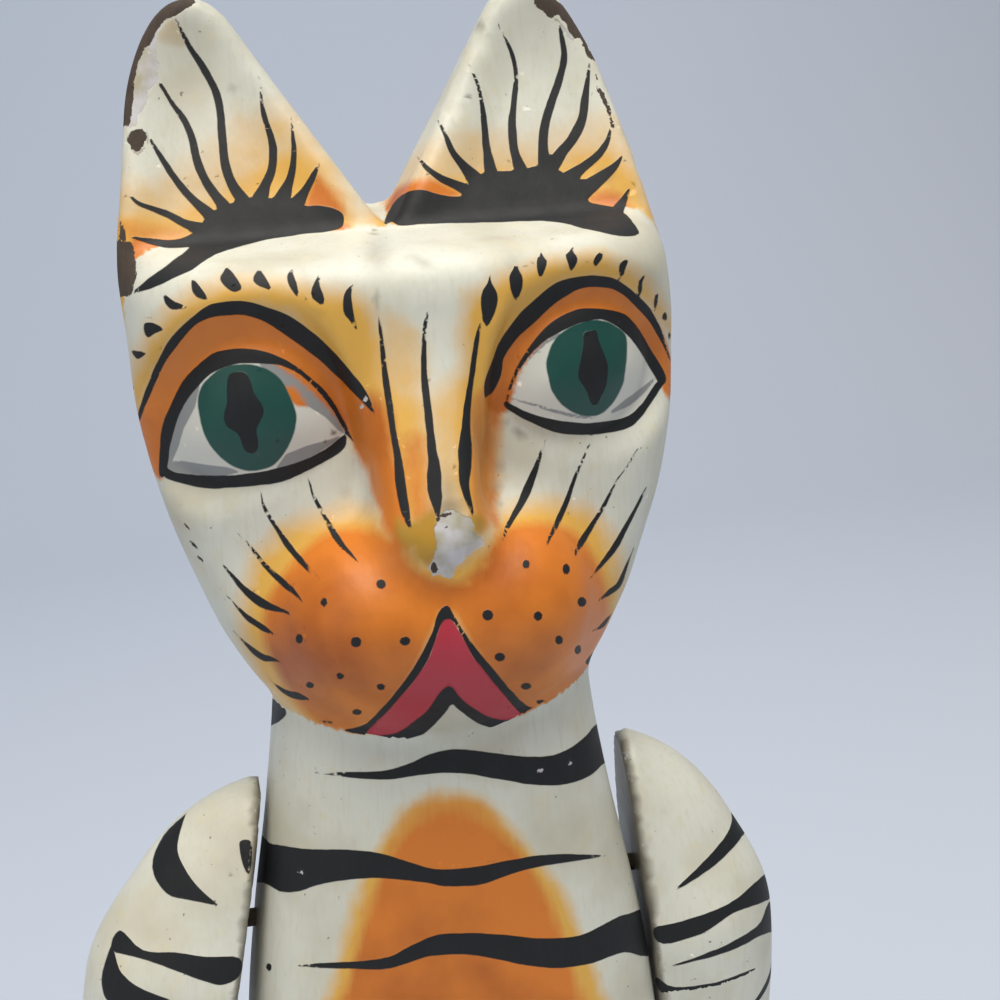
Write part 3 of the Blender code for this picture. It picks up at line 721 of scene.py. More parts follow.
@dataclass(frozen=True)
class BrowPaint:
    """The brows: a row of small leaves over a black arc, with orange under it and amber round it."""

    left_leaves: tuple[tuple[Pixel, ...], ...] = (
        ((127, 383), (134, 387), (131, 393), (128, 389)),
        ((131, 350), (138, 351), (146, 353), (138, 359), (133, 355)),
        ((144, 323), (153, 323), (163, 329), (155, 333), (148, 338), (144, 332)),
        ((164, 294), (174, 301), (187, 307), (179, 309), (171, 309), (165, 303)),
        ((192, 279), (200, 286), (207, 299), (197, 297), (192, 290)),
        ((227, 267), (234, 274), (241, 285), (240, 290), (234, 292), (227, 288), (220, 279), (223, 272)),
        ((259, 270), (265, 277), (272, 290), (265, 288), (258, 285), (253, 279)),
        ((292, 269), (294, 276), (297, 284), (299, 298), (294, 293), (289, 285), (287, 276)),
        ((321, 273), (319, 284), (324, 298), (322, 305), (316, 301), (311, 295), (314, 284)),
        ((353, 284), (351, 294), (353, 308), (357, 330), (350, 321), (344, 313), (343, 301), (346, 291)),
    )
    right_leaves: tuple[tuple[Pixel, ...], ...] = (
        ((490, 272), (491, 282), (497, 293), (497, 304), (494, 315), (487, 327), (482, 316), (481, 302), (483, 291),
            (488, 282)),
        ((516, 262), (519, 270), (523, 278), (522, 290), (516, 301), (511, 291), (509, 277), (513, 269)),
        ((542, 248), (543, 256), (547, 261), (545, 270), (540, 278), (537, 268), (537, 259), (540, 254)),
        ((573, 245), (573, 252), (577, 257), (576, 264), (571, 271), (568, 262), (566, 255), (570, 251)),
        ((602, 251), (603, 257), (599, 263), (595, 267), (593, 262), (596, 255)),
        ((628, 259), (625, 269), (622, 279), (619, 271), (621, 263)),
        ((645, 275), (642, 283), (642, 290), (639, 297), (638, 288), (640, 279)),
        ((657, 291), (658, 299), (655, 312), (654, 305), (655, 297)),
        ((665, 312), (667, 317), (665, 322), (662, 317)), ((669, 331), (671, 335), (669, 341), (668, 336)),
    )
    left_arc: tuple[tuple[Pixel, ...], tuple[Pixel, ...]] = (
        ((134, 432), (135, 424), (140, 406), (148, 384), (158, 360), (172, 337), (191, 318), (209, 305), (227, 301),
            (245, 301), (263, 306), (281, 312), (299, 322), (316, 335), (334, 352), (352, 373), (367, 393),
            (375, 414)),
        ((136, 430), (141, 418), (147, 402), (155, 384), (166, 361), (183, 338), (197, 324), (212, 317), (230, 315),
            (245, 315), (263, 321), (281, 332), (299, 344), (316, 357), (334, 373), (352, 391), (363, 402),
            (372, 412)),
    )
    right_arc: tuple[tuple[Pixel, ...], tuple[Pixel, ...]] = (
        ((485, 398), (484, 384), (490, 366), (500, 341), (516, 318), (535, 299), (556, 283), (580, 276), (604, 276),
            (617, 280), (634, 292), (651, 310), (662, 332), (671, 362)),
        ((487, 397), (494, 390), (501, 375), (504, 357), (516, 340), (535, 322), (556, 303), (580, 289), (602, 287),
            (617, 291), (632, 303), (648, 320), (660, 340), (670, 360)),
    )
    left_orange: tuple[Pixel, ...] = (
        (135, 430), (145, 400), (160, 370), (180, 335), (200, 319), (231, 308), (262, 312), (290, 328), (318, 347),
        (342, 368), (362, 392), (376, 412), (378, 440), (362, 450), (352, 440), (335, 416), (312, 392), (288, 372),
        (259, 358), (231, 357), (210, 363), (186, 388), (170, 420), (164, 448), (162, 479), (152, 471), (143, 455),
    )
    right_orange: tuple[Pixel, ...] = (
        (486, 398), (498, 378), (504, 350), (528, 318), (556, 292), (582, 282), (606, 281), (628, 292), (648, 310),
        (664, 336), (673, 368), (676, 392), (670, 400), (660, 384), (650, 356), (634, 330), (614, 316), (584, 316),
        (560, 326), (540, 344), (522, 368), (512, 396), (506, 412), (490, 410),
    )
    amber: tuple[Patch, ...] = (
        Patch(((122, 430), (126, 400), (132, 372), (146, 342), (160, 320), (182, 300), (206, 288), (235, 282),
            (270, 282), (300, 287), (330, 291), (352, 296), (374, 318), (384, 350), (392, 400), (398, 450),
            (360, 440), (300, 330), (240, 312), (190, 330), (150, 395), (136, 440)), soft=3.6),
        Patch(((300, 300), (345, 306), (376, 330), (384, 370), (392, 420), (380, 420), (345, 360)),
            soft=3.0, strength=1.0),
        Patch(((463, 330), (468, 300), (486, 286), (508, 276), (535, 266), (560, 259), (590, 255), (615, 260),
            (636, 271), (652, 288), (664, 308), (670, 330), (640, 300), (600, 282), (560, 290), (520, 330),
            (496, 370), (486, 410), (466, 420)), soft=3.2),
    )
    arc_chip: Patch = Patch(((359, 407), (366, 396), (369, 397), (362, 410)), rounded=False)
    crown_dirt: tuple[tuple[float, float, float], ...] = (
        (352, 258, 1.5), (356, 260, 1.8), (361, 264, 1.2), (376, 258, 1.8), (379, 262, 1.5), (382, 268, 1.8),
        (374, 271, 1.6), (369, 252, 1.2), (384, 256, 1.6), (378, 251, 1.5), (365, 275, 1.2), (372, 240, 1.4),
        (376, 246, 1.0), (408, 250, 1.6), (414, 258, 1.2), (426, 262, 1.6), (442, 268, 1.8), (457, 266, 1.6),
        (463, 266, 1.2), (442, 275, 1.6), (402, 262, 1.4), (396, 270, 1.2), (375, 259, 4.0),
    )
    notch_stain: Dot = Dot((377, 256), (9, 16), soft=2.4, strength=0.4)
    notch_crack: Stroke = Stroke(((373, 226), (375, 240), (378, 262), (376, 290), (379, 310)), (2.0, 1.2, 1.0, 0.6))

    def marks(self) -> Layers:
        """Every mark with an edge on both brows and between them."""
        return {
            Layer.INK: [ribbon(*self.left_arc), ribbon(*self.right_arc),
                        *(Patch(line) for line in self.left_leaves + self.right_leaves)],
            Layer.PRIMER: [self.arc_chip],
        }

    def washes(self) -> Layers:
        """Every wash and stain on both brows and between them."""
        dirt = [Dot((x, y), (size, size), soft=0.15, strength=0.95) for x, y, size in self.crown_dirt]
        return {
            Layer.ORANGE: [Patch(self.left_orange), Patch(self.right_orange)],
            Layer.AMBER: list(self.amber),
            Layer.GRIME: [*dirt, self.notch_stain, self.notch_crack],
        }


@dataclass(frozen=True)
class EyePaint:
    """The eyes: grey-white balls with painted shade inside the lids and corners, deep green irises with long black
    pupils, and black lids.
    """

    left_upper: tuple[tuple[Pixel, ...], tuple[Pixel, ...]] = (
        ((159, 474), (160, 445), (164, 421), (182, 383), (207, 357), (231, 349), (259, 350), (288, 361), (316, 382),
            (335, 405), (354, 441)),
        ((166, 474), (171, 443), (184, 405), (207, 377), (231, 365), (259, 363), (283, 366), (304, 378), (326, 400),
            (342, 426), (348, 436)),
    )
    left_lower: tuple[tuple[Pixel, ...], tuple[Pixel, ...]] = (
        ((165, 467), (175, 472), (200, 475), (230, 475), (269, 470), (316, 455), (346, 433)),
        ((162, 474), (170, 480), (198, 487), (231, 488), (281, 482), (316, 466), (343, 450), (347, 438)),
    )
    left_ball: tuple[Pixel, ...] = (
        (166, 473), (171, 443), (184, 405), (207, 377), (231, 366), (259, 362), (283, 364), (304, 377), (328, 400),
        (342, 426), (347, 435), (316, 459), (269, 475), (222, 480), (174, 475),
    )
    left_iris: tuple[Pixel, ...] = (
        (198, 402), (202, 428), (214, 451), (234, 467), (255, 471), (275, 464), (290, 443), (296, 421), (292, 400),
        (281, 380), (263, 368), (241, 364), (220, 369), (204, 383),
    )
    left_pupil: tuple[Pixel, ...] = (
        (229, 375), (236, 372), (245, 373), (250, 380), (254, 393), (263, 408), (261, 420), (257, 429), (258, 446),
        (253, 453), (245, 450), (238, 434), (227, 426), (224, 416), (227, 404), (227, 386),
    )
    # Painted shade: grey bands inside the lids and corners of the left eye.
    left_lid_shade: tuple[tuple[Pixel, ...], ...] = (
        ((256, 360), (272, 362), (290, 371), (308, 383), (326, 400), (340, 420), (347, 434), (339, 431), (325, 417),
            (308, 406), (295, 404), (284, 389), (272, 375), (261, 366)),
        ((346, 434), (334, 443), (316, 454), (299, 463), (281, 470), (276, 468), (286, 454), (307, 446), (331, 439)),
        ((200, 383), (186, 397), (176, 416), (170, 438), (164, 464), (172, 462), (179, 445), (184, 428), (195, 407)),
        ((164, 464), (182, 461), (209, 465), (227, 467), (242, 472), (220, 477), (191, 475), (168, 471)),
    )
    right_upper: tuple[tuple[Pixel, ...], tuple[Pixel, ...]] = (
        ((504, 405), (508, 390), (517, 367), (533, 342), (550, 323), (572, 311), (590, 308), (620, 312), (636, 325),
            (650, 348), (664, 371), (666, 382)),
        ((508, 400), (516, 376), (536, 348), (562, 331), (584, 322), (604, 320), (626, 334), (638, 348), (652, 372),
            (659, 383)),
    )
    right_lower: tuple[tuple[Pixel, ...], tuple[Pixel, ...]] = (
        ((507, 402), (527, 412), (551, 419), (580, 423), (608, 421), (628, 416), (643, 402), (658, 380)),
        ((505, 407), (522, 418), (551, 431), (576, 435), (600, 434), (628, 428), (643, 415), (658, 392), (666, 380)),
    )
    right_ball: tuple[Pixel, ...] = (
        (508, 403), (518, 375), (539, 347), (563, 330), (584, 322), (604, 321), (627, 331), (639, 347), (655, 375),
        (645, 401), (631, 418), (612, 423), (584, 426), (555, 423), (527, 415),
    )
    right_iris: tuple[Pixel, ...] = (
        (564, 331), (577, 324), (592, 320), (609, 322), (623, 331), (627, 342), (626, 365), (623, 383), (615, 400),
        (606, 410), (596, 416), (580, 415), (564, 407), (553, 393), (548, 378), (546, 364), (550, 348), (556, 338),
    )
    right_pupil: tuple[Pixel, ...] = (
        (584, 333), (590, 331), (596, 331), (599, 342), (604, 354), (608, 367), (606, 386), (601, 397), (596, 406),
        (591, 403), (587, 391), (580, 381), (578, 374), (581, 357), (583, 344),
    )
    # Painted shade: grey bands inside the lids and at the corners of the right eye.
    right_lid_shade: tuple[Patch | Stroke, ...] = (
        Patch(((561, 329), (542, 338), (529, 350), (516, 370), (520, 371), (532, 357), (548, 343), (558, 338))),
        Stroke(((508, 398), (528, 403), (551, 410), (575, 416), (596, 418)), (1.5, 2.5, 3.5, 2.5)),
        Stroke(((655, 378), (642, 391), (628, 402), (612, 412)), (2.0, 6.0, 8.0, 3.0)),
    )
    left_fleck: Patch = Patch(((284, 386), (297, 391), (300, 397), (307, 406), (294, 404), (287, 392)), soft=0.4)
    crack: tuple[Stroke, ...] = (
        Stroke(((509, 410), (506, 420), (503, 432), (501, 445), (502, 460), (500, 476), (498, 488), (501, 500),
            (500, 515)), (0.8, 0.8, 2.2, 1.2, 2.6, 0.8, 1.6, 0.8, 0.6)),
    )
    specks: tuple[tuple[float, float, float], ...] = (
        (501, 442, 2.8), (498, 461, 1.8), (516, 434, 1.2), (520, 432, 0.9), (334, 433, 1.4), (325, 442, 1.0),
        (344, 492, 1.2), (341, 497, 1.0), (202, 514, 1.5), (247, 509, 1.2),
    )

    def marks(self) -> Layers:
        """Every mark on both eyes."""
        return {
            Layer.INK: [ribbon(*self.left_upper), ribbon(*self.left_lower), ribbon(*self.right_upper),
                        ribbon(*self.right_lower), Patch(self.left_pupil), Patch(self.right_pupil)],
            Layer.EYEBALL: [Patch(self.left_ball), Patch(self.right_ball)],
            Layer.EYE_GREY: [*(Patch(line, rounded=False) for line in self.left_lid_shade), *self.right_lid_shade],
            Layer.IRIS: [Patch(self.left_iris), Patch(self.right_iris)],
            Layer.ORANGE: [self.left_fleck],
            Layer.GRIME: [*self.crack, *(Dot((x, y), (size, size), soft=0.15) for x, y, size in self.specks)],
        }


@dataclass(frozen=True)
class NosePaint:
    """The nose: black stripes down the bridge, orange walls, amber between, and a worn tip."""

    stripes: tuple[Stroke, ...] = (
        Stroke(((379, 307), (380, 325), (382, 346), (385, 374), (389, 402), (393, 430), (398, 458), (401, 486),
            (406, 514), (411, 530)), (0.8, 3.4, 4.4, 6.0, 7.0, 6.8, 7.4, 11.0, 10.0, 2.0)),
        Stroke(((429, 308), (425, 325), (424, 346), (424, 374), (427, 402), (430, 430), (432, 451), (434, 465),
            (434, 486), (436, 500), (438, 518)), (0.8, 4.4, 5.2, 6.6, 7.4, 8.0, 8.0, 10.0, 15.0, 13.0, 3.0)),
        Stroke(((482, 317), (477, 339), (472, 374), (467, 409), (465, 444), (465, 465), (464, 480), (467, 495),
            (471, 508), (474, 518)), (0.8, 4.6, 5.2, 5.6, 7.0, 9.0, 14.0, 12.0, 6.5, 1.5)),
    )
    left_wall: Patch = Patch(((362, 400), (376, 420), (386, 446), (396, 470), (402, 500), (410, 536), (404, 560),
        (396, 552), (388, 532), (380, 512), (374, 494), (370, 474), (358, 458), (352, 440), (346, 420)), soft=0.5)
    left_blush: Patch = Patch(((370, 395), (388, 410), (394, 450), (400, 500), (380, 500), (366, 440)), soft=2.4)
    bridge_blush: Patch = Patch(((404, 440), (424, 440), (426, 480), (430, 520), (412, 520), (404, 480)),
        soft=2.4, strength=0.7)
    right_wall: Patch = Patch(((505, 404), (499, 423), (495, 444), (493, 465), (493, 486), (497, 512), (500, 530),
        (490, 520), (484, 490), (482, 450), (484, 415), (490, 398)), soft=0.8, strength=0.8)
    right_blush: Patch = Patch(((472, 400), (496, 392), (494, 440), (492, 520), (474, 518), (468, 460)),
        soft=1.6, strength=0.6)
    amber: tuple[Patch, ...] = (
        Patch(((352, 320), (382, 330), (400, 380), (424, 400), (432, 440), (434, 500), (434, 530), (404, 530),
            (380, 480), (360, 430), (340, 380)), soft=3.4, strength=0.9),
        Patch(((384, 318), (420, 350), (424, 420), (430, 470), (450, 520), (410, 530), (392, 440), (382, 380)),
            soft=4.0, strength=0.7),
        Patch(((452, 390), (468, 360), (476, 330), (500, 330), (500, 400), (492, 530), (470, 520), (454, 500),
            (448, 440)), soft=2.6, strength=0.9),
        Patch(((430, 400), (466, 380), (466, 470), (460, 520), (438, 500), (430, 440)), soft=4.0, strength=0.7),
    )
    ochre: Patch = Patch(((396, 516), (404, 524), (414, 522), (432, 511), (440, 530), (438, 552), (430, 566),
        (418, 560), (404, 548), (397, 533)), soft=1.0)
    right_ochre: Patch = Patch(((471, 514), (484, 520), (482, 534), (474, 532), (470, 524)), soft=0.8, strength=0.8)
    bare_tip: tuple[Pixel, ...] = (
        (441, 514), (452, 509), (464, 514), (472, 520), (474, 531), (480, 536), (484, 545), (474, 550), (464, 559),
        (456, 567), (453, 579), (446, 579), (441, 575), (432, 577), (429, 568), (434, 560), (436, 548), (434, 534),
    )
    tip_hole: Dot = Dot((434.5, 569), (2.8, 5.8))
    bridge_stain: Dot = Dot((447, 492), (9, 16), soft=2.2, strength=0.35)
    tip_smudge: Dot = Dot((449, 507), (13, 10), soft=1.6, strength=0.6)
    tip_flecks: tuple[tuple[float, float, float], ...] = (
        (438, 519, 2.2), (444, 515, 1.8), (450, 513, 1.4), (457, 520, 1.2), (402, 521, 1.6), (446, 527, 1.0),
    )

    def marks(self) -> Layers:
        """Every mark on the nose."""
        return {
            Layer.INK: [*self.stripes],
            Layer.ORANGE: [self.left_wall, self.left_blush, self.bridge_blush, self.right_wall, self.right_blush],
            Layer.AMBER: list(self.amber),
            Layer.OLIVE: [self.ochre, self.right_ochre],
            Layer.GRIME: [self.tip_smudge, self.bridge_stain],
            Layer.WOOD: [self.tip_hole, *(Dot((x, y), (size, size)) for x, y, size in self.tip_flecks)],
            Layer.PRIMER: [Patch(self.bare_tip, rounded=False)],
        }


@dataclass(frozen=True)
class MuzzlePaint:
    """The muzzle: one rubbed orange field over both lobes, black whiskers and dots, and a pink mouth."""

    rubbed_field: Patch = Patch(((263, 636), (267, 604), (277, 584), (292, 564), (308, 547), (324, 535), (345, 529),
        (366, 530), (384, 534), (396, 545), (408, 562), (424, 574), (440, 580), (462, 582), (480, 564), (492, 546),
        (504, 530), (530, 524), (560, 526), (584, 542), (600, 570), (608, 602), (609, 636), (604, 664), (588, 688),
        (568, 706), (546, 722), (518, 714), (480, 660), (447, 610), (420, 660), (396, 698), (368, 726), (340, 734),
        (316, 722), (294, 700), (276, 668)), soft=1.6)
    halo: Patch = Patch(((244, 640), (246, 590), (262, 550), (294, 524), (340, 512), (378, 514), (400, 540),
        (440, 560), (480, 545), (500, 516), (540, 502), (580, 508), (606, 530), (620, 566), (622, 612), (612, 656),
        (590, 694), (540, 720), (480, 664), (447, 620), (400, 700), (360, 738), (310, 728), (264, 690)), soft=4.0)
    whiskers: tuple[Stroke, ...] = (
        Stroke(((308, 474), (313, 494), (325, 517), (339, 541), (351, 555), (361, 567)),
            (0.8, 3.0, 3.8, 6.0, 5.0, 0.8)),
        Stroke(((261, 490), (264, 507), (278, 530), (292, 550), (307, 567), (319, 580), (325, 589)),
            (0.8, 3.2, 5.0, 6.0, 6.5, 4.5, 0.8)),
        Stroke(((237, 532), (250, 546), (264, 564), (278, 578), (294, 592), (304, 604)),
            (0.8, 3.0, 5.0, 6.0, 6.0, 0.8)),
        Stroke(((220, 561), (230, 573), (244, 589), (259, 601), (271, 607), (284, 611), (291, 615)),
            (0.8, 2.5, 4.5, 8.0, 9.0, 6.0, 0.8)),
        Stroke(((219, 587), (230, 599), (246, 616), (260, 626), (268, 631), (277, 636)),
            (0.8, 1.5, 3.0, 6.0, 6.0, 0.8)),
        Stroke(((233, 630), (248, 646), (262, 657), (271, 659), (281, 662)), (0.8, 2.5, 6.0, 7.0, 0.8)),
        Stroke(((264, 673), (276, 685), (287, 693), (297, 696), (311, 700)), (0.8, 1.5, 5.0, 7.5, 0.8)),
        Stroke(((317, 721), (326, 722), (336, 723)), (1.0, 3.0, 1.0)),
        Stroke(((546, 437), (538, 462), (531, 480), (522, 501), (513, 517), (506, 530), (502, 543)),
            (0.8, 3.5, 6.5, 9.0, 6.0, 5.5, 0.8)),
        Stroke(((592, 438), (583, 459), (574, 480), (565, 505), (556, 525), (549, 539), (545, 549)),
            (0.8, 1.8, 2.8, 4.2, 6.0, 4.5, 0.8)),
        Stroke(((638, 448), (629, 463), (617, 480), (603, 507), (590, 528), (579, 546), (572, 561)),
            (0.8, 1.5, 2.2, 3.6, 5.0, 6.5, 0.8)),
        Stroke(((647, 486), (635, 510), (622, 534), (612, 551), (599, 567), (590, 579)),
            (0.8, 2.5, 4.5, 6.5, 4.5, 0.8)),
        Stroke(((634, 547), (626, 567), (619, 584), (610, 592), (598, 601)), (0.8, 2.0, 5.0, 6.5, 0.8)),
        Stroke(((612, 613), (603, 625), (593, 631)), (0.8, 4.0, 0.8)), Stroke(((594, 654), (588, 662)), (4.0, 5.0)),
        Stroke(((183, 522), (190, 530)), (1.5, 3.0, 1.5)), Stroke(((190, 541), (197, 548)), (1.5, 3.0, 1.5)),
        Stroke(((197, 556), (204, 562)), (1.5, 3.0, 1.5)),
    )
    dots: tuple[tuple[float, float, float, float], ...] = (
        (381, 584, 4.5, 4.6), (324, 602, 3.4, 4.5), (299, 639, 3.8, 5.0), (356, 642, 5.0, 5.0), (405, 641, 5.2, 4.6),
        (340, 676, 4.2, 3.6), (310, 685, 4.0, 3.4), (381, 687, 4.3, 3.3), (357, 712, 4.8, 3.0), (526, 564, 3.6, 4.5),
        (566, 569, 3.4, 5.0), (582, 602, 4.6, 5.0), (488, 615, 5.4, 5.4), (538, 616, 4.5, 5.0), (559, 640, 4.0, 4.5),
        (578, 650, 3.2, 4.6), (500, 657, 5.4, 4.5), (526, 686, 5.0, 3.4), (541, 702, 4.6, 2.6),
    )
    gums: tuple[Pixel, ...] = (
        (447, 619), (441, 624), (435, 641), (428, 659), (416, 678), (401, 696), (387, 712), (368, 731), (370, 735),
        (384, 735), (398, 732), (414, 721), (428, 709), (441, 691), (451, 686), (462, 699), (478, 711), (496, 719),
        (514, 719), (522, 715), (517, 710), (503, 694), (488, 676), (474, 658), (462, 636), (453, 621),
    )
    upper_lip: tuple[Pixel, ...] = (
        (447, 605), (438, 613), (432, 632), (423, 651), (410, 673), (396, 692), (382, 708), (367, 723), (355, 728),
        (340, 731), (341, 736), (362, 736), (370, 731), (387, 713), (401, 697), (416, 679), (428, 660), (435, 642),
        (441, 625), (447, 620), (453, 622), (462, 637), (474, 659), (488, 677), (503, 695), (517, 711), (524, 716),
        (538, 711), (526, 705), (514, 694), (496, 673), (483, 657), (471, 641), (460, 625), (453, 613),
    )
    lower_lip: tuple[Pixel, ...] = (
        (341, 735), (355, 742), (373, 743), (396, 741), (416, 737), (428, 731), (444, 714), (452, 704), (460, 711),
        (478, 723), (492, 728), (506, 727), (519, 721), (530, 714), (520, 715), (514, 718), (496, 718), (478, 710),
        (462, 698), (451, 684), (441, 690), (428, 708), (414, 720), (398, 731), (384, 734), (366, 733),
    )

    def marks(self) -> Layers:
        """Every mark on the muzzle and mouth."""
        return {
            Layer.INK: [*self.whiskers, *(Dot((x, y), (wide, high)) for x, y, wide, high in self.dots),
                        Patch(self.upper_lip), Patch(self.lower_lip)],
            Layer.ORANGE: [self.rubbed_field],
            Layer.AMBER: [self.halo],
            Layer.LIP: [Patch(self.gums)],
        }


@dataclass(frozen=True)
class ChestPaint:
    """The chest: wedge stripes that run out across the front from either side, and an orange belly."""

    stripes: tuple[tuple[tuple[Pixel, ...], tuple[Pixel, ...]], ...] = (
        (((640, 690), (603, 717), (582, 739), (560, 753), (531, 757), (492, 753), (458, 749), (430, 754), (408, 764),
            (380, 771), (320, 772)), ((640, 738), (607, 761), (588, 777), (560, 785), (526, 784), (487, 777),
            (453, 773), (422, 775), (380, 780), (320, 774))),
        (((240, 822), (265, 838), (273, 844), (312, 849), (370, 851), (408, 862), (436, 869), (464, 868), (492, 864),
            (526, 857), (560, 854), (602, 855)), ((240, 876), (264, 883), (280, 891), (296, 892), (317, 885),
            (347, 880), (380, 878), (422, 882), (444, 886), (478, 885), (506, 876), (537, 867), (576, 861),
            (602, 857))),
        (((680, 890), (641, 909), (618, 917), (593, 930), (571, 937), (537, 938), (498, 934), (464, 933), (436, 935),
            (408, 947), (380, 959), (305, 964)), ((680, 940), (647, 956), (624, 952), (593, 963), (560, 968),
            (526, 965), (492, 958), (461, 954), (430, 956), (408, 963), (380, 969), (305, 967))),
    )
    neck_tip: tuple[Pixel, ...] = ((255, 694), (272, 698), (287, 712), (275, 724), (255, 726))
    chips: tuple[Dot, ...] = (Dot((541, 771), (3.4, 2.2)), Dot((571, 763), (2, 1.4)), Dot((300, 872), (2, 1.4)))
    belly: tuple[Patch, ...] = (
        Patch(((408, 830), (436, 814), (470, 814), (496, 828), (518, 852), (543, 890), (560, 930), (577, 988),
            (604, 1100), (320, 1100), (348, 988), (362, 934), (376, 890), (392, 855)), soft=1.6),
        Patch(((402, 822), (424, 800), (440, 797), (466, 797), (484, 806), (500, 824), (528, 862), (500, 870),
            (400, 870), (384, 856)), soft=1.2, strength=0.5),
    )
    belly_edge: Patch = Patch(((400, 816), (420, 799), (440, 794), (467, 794), (486, 803), (504, 820), (530, 852),
        (560, 888), (578, 930), (600, 988), (630, 1100), (300, 1100), (332, 988), (346, 934), (360, 886),
        (382, 844)), soft=2.0)

    def marks(self) -> Layers:
        """Every mark on the part of the chest that the picture shows."""
        return {
            Layer.INK: [ribbon(*pair) for pair in self.stripes] + [Patch(self.neck_tip), Dot((269, 967), (3, 4))],
            Layer.ORANGE: list(self.belly),
            Layer.AMBER: [self.belly_edge],
            Layer.PRIMER: list(self.chips),
        }


@dataclass(frozen=True)
class LeftArmPaint:
    """The left arm: hooked stripes that come round from the back."""

    stripes: tuple[tuple[tuple[Pixel, ...], tuple[Pixel, ...]], ...] = (
        (((186, 813), (163, 836), (152, 867), (166, 893), (189, 900), (216, 905)), ((186, 815), (179, 836),
            (178, 854), (189, 875), (202, 891), (216, 903))),
        (((120, 930), (143, 950), (175, 952), (205, 957), (239, 958)), ((112, 950), (140, 958), (163, 966),
            (198, 979), (221, 985), (239, 976))),
        (((112, 944), (104, 965), (102, 985), (110, 1002), (140, 1006), (170, 1004)), ((114, 950), (120, 969),
            (128, 979), (137, 986), (152, 993), (170, 1000))),
    )
    inner_mark: tuple[Pixel, ...] = ((240, 841), (251, 841), (252, 858), (249, 875), (243, 866), (240, 852))

    def marks(self) -> Layers:
        """Every mark on the part of the arm that the picture shows."""
        return {Layer.INK: [ribbon(*pair) for pair in self.stripes] + [Patch(self.inner_mark)]}


@dataclass(frozen=True)
class RightArmPaint:
    """The right arm: stripes that sweep in from the outside to a point."""

    stripes: tuple[tuple[Pixel, ...], ...] = (
        ((718, 775), (745, 803), (748, 826), (729, 852), (703, 874), (675, 890), (703, 862), (727, 834), (731, 811)),
        ((775, 866), (759, 879), (728, 904), (683, 921), (654, 928), (663, 944), (703, 933), (734, 913), (775, 895)),
        ((785, 895), (769, 902), (756, 927), (717, 949), (672, 966), (728, 952), (762, 935), (785, 925)),
        ((785, 960), (756, 968), (717, 982), (675, 987), (656, 977), (661, 994), (703, 991), (750, 985), (785, 972)),
        ((785, 984), (770, 986), (742, 1000), (730, 1012), (785, 1008)),
    )

    def marks(self) -> Layers:
        """Every mark on the part of the arm that the picture shows."""
        return {Layer.INK: [Patch(line) for line in self.stripes]}




def points_of(mesh: bpy.types.Mesh) -> Array:
    """The mesh's vertices in mm, with heights from the base's top."""
    flat = np.empty(len(mesh.vertices) * 3)
    mesh.vertices.foreach_get("co", flat)
    return flat.reshape(-1, 3) / MM - np.array([0.0, 0.0, BASE_THICKNESS])


def set_points(mesh: bpy.types.Mesh, p: Array) -> None:
    """Moves the mesh's vertices to points in mm, with heights from the base's top."""
    mesh.vertices.foreach_set("co", ((p + np.array([0.0, 0.0, BASE_THICKNESS])) * MM).ravel())
    mesh.update()


def slope(form: Callable[[Array], Array], p: Array, here: Array, step: float = 0.05) -> Array:
    """The form's gradient at points, where its value is already known."""
    return np.column_stack([(form(p + step * axis) - here) / step for axis in np.eye(3)])


def settle(form: Callable[[Array], Array], p: Array, steps: int = 2, most: float = 2.0) -> Array:
    """Moves points onto a form's surface.

    Args:
        form: gives the distance from points to the surface.
        p: the points to move, in mm.
        steps: how many times each point is moved.
        most: the furthest a point may go in one move.

    Returns:
        The moved points.
    """
    for _ in range(steps):
        here = form(p)
        steep = slope(form, p, here)
        size = np.maximum(np.linalg.norm(steep, axis=1, keepdims=True), 0.05)
        move = np.clip(here[:, None] / size, -most, most)
        p = p - move * steep / size
    return p


def facing_out(form: Callable[[Array], Array], p: Array) -> Array:
    """The surface's unit normals at points on a form."""
    steep = slope(form, p, form(p))
    return steep / np.maximum(np.linalg.norm(steep, axis=1, keepdims=True), 1e-6)


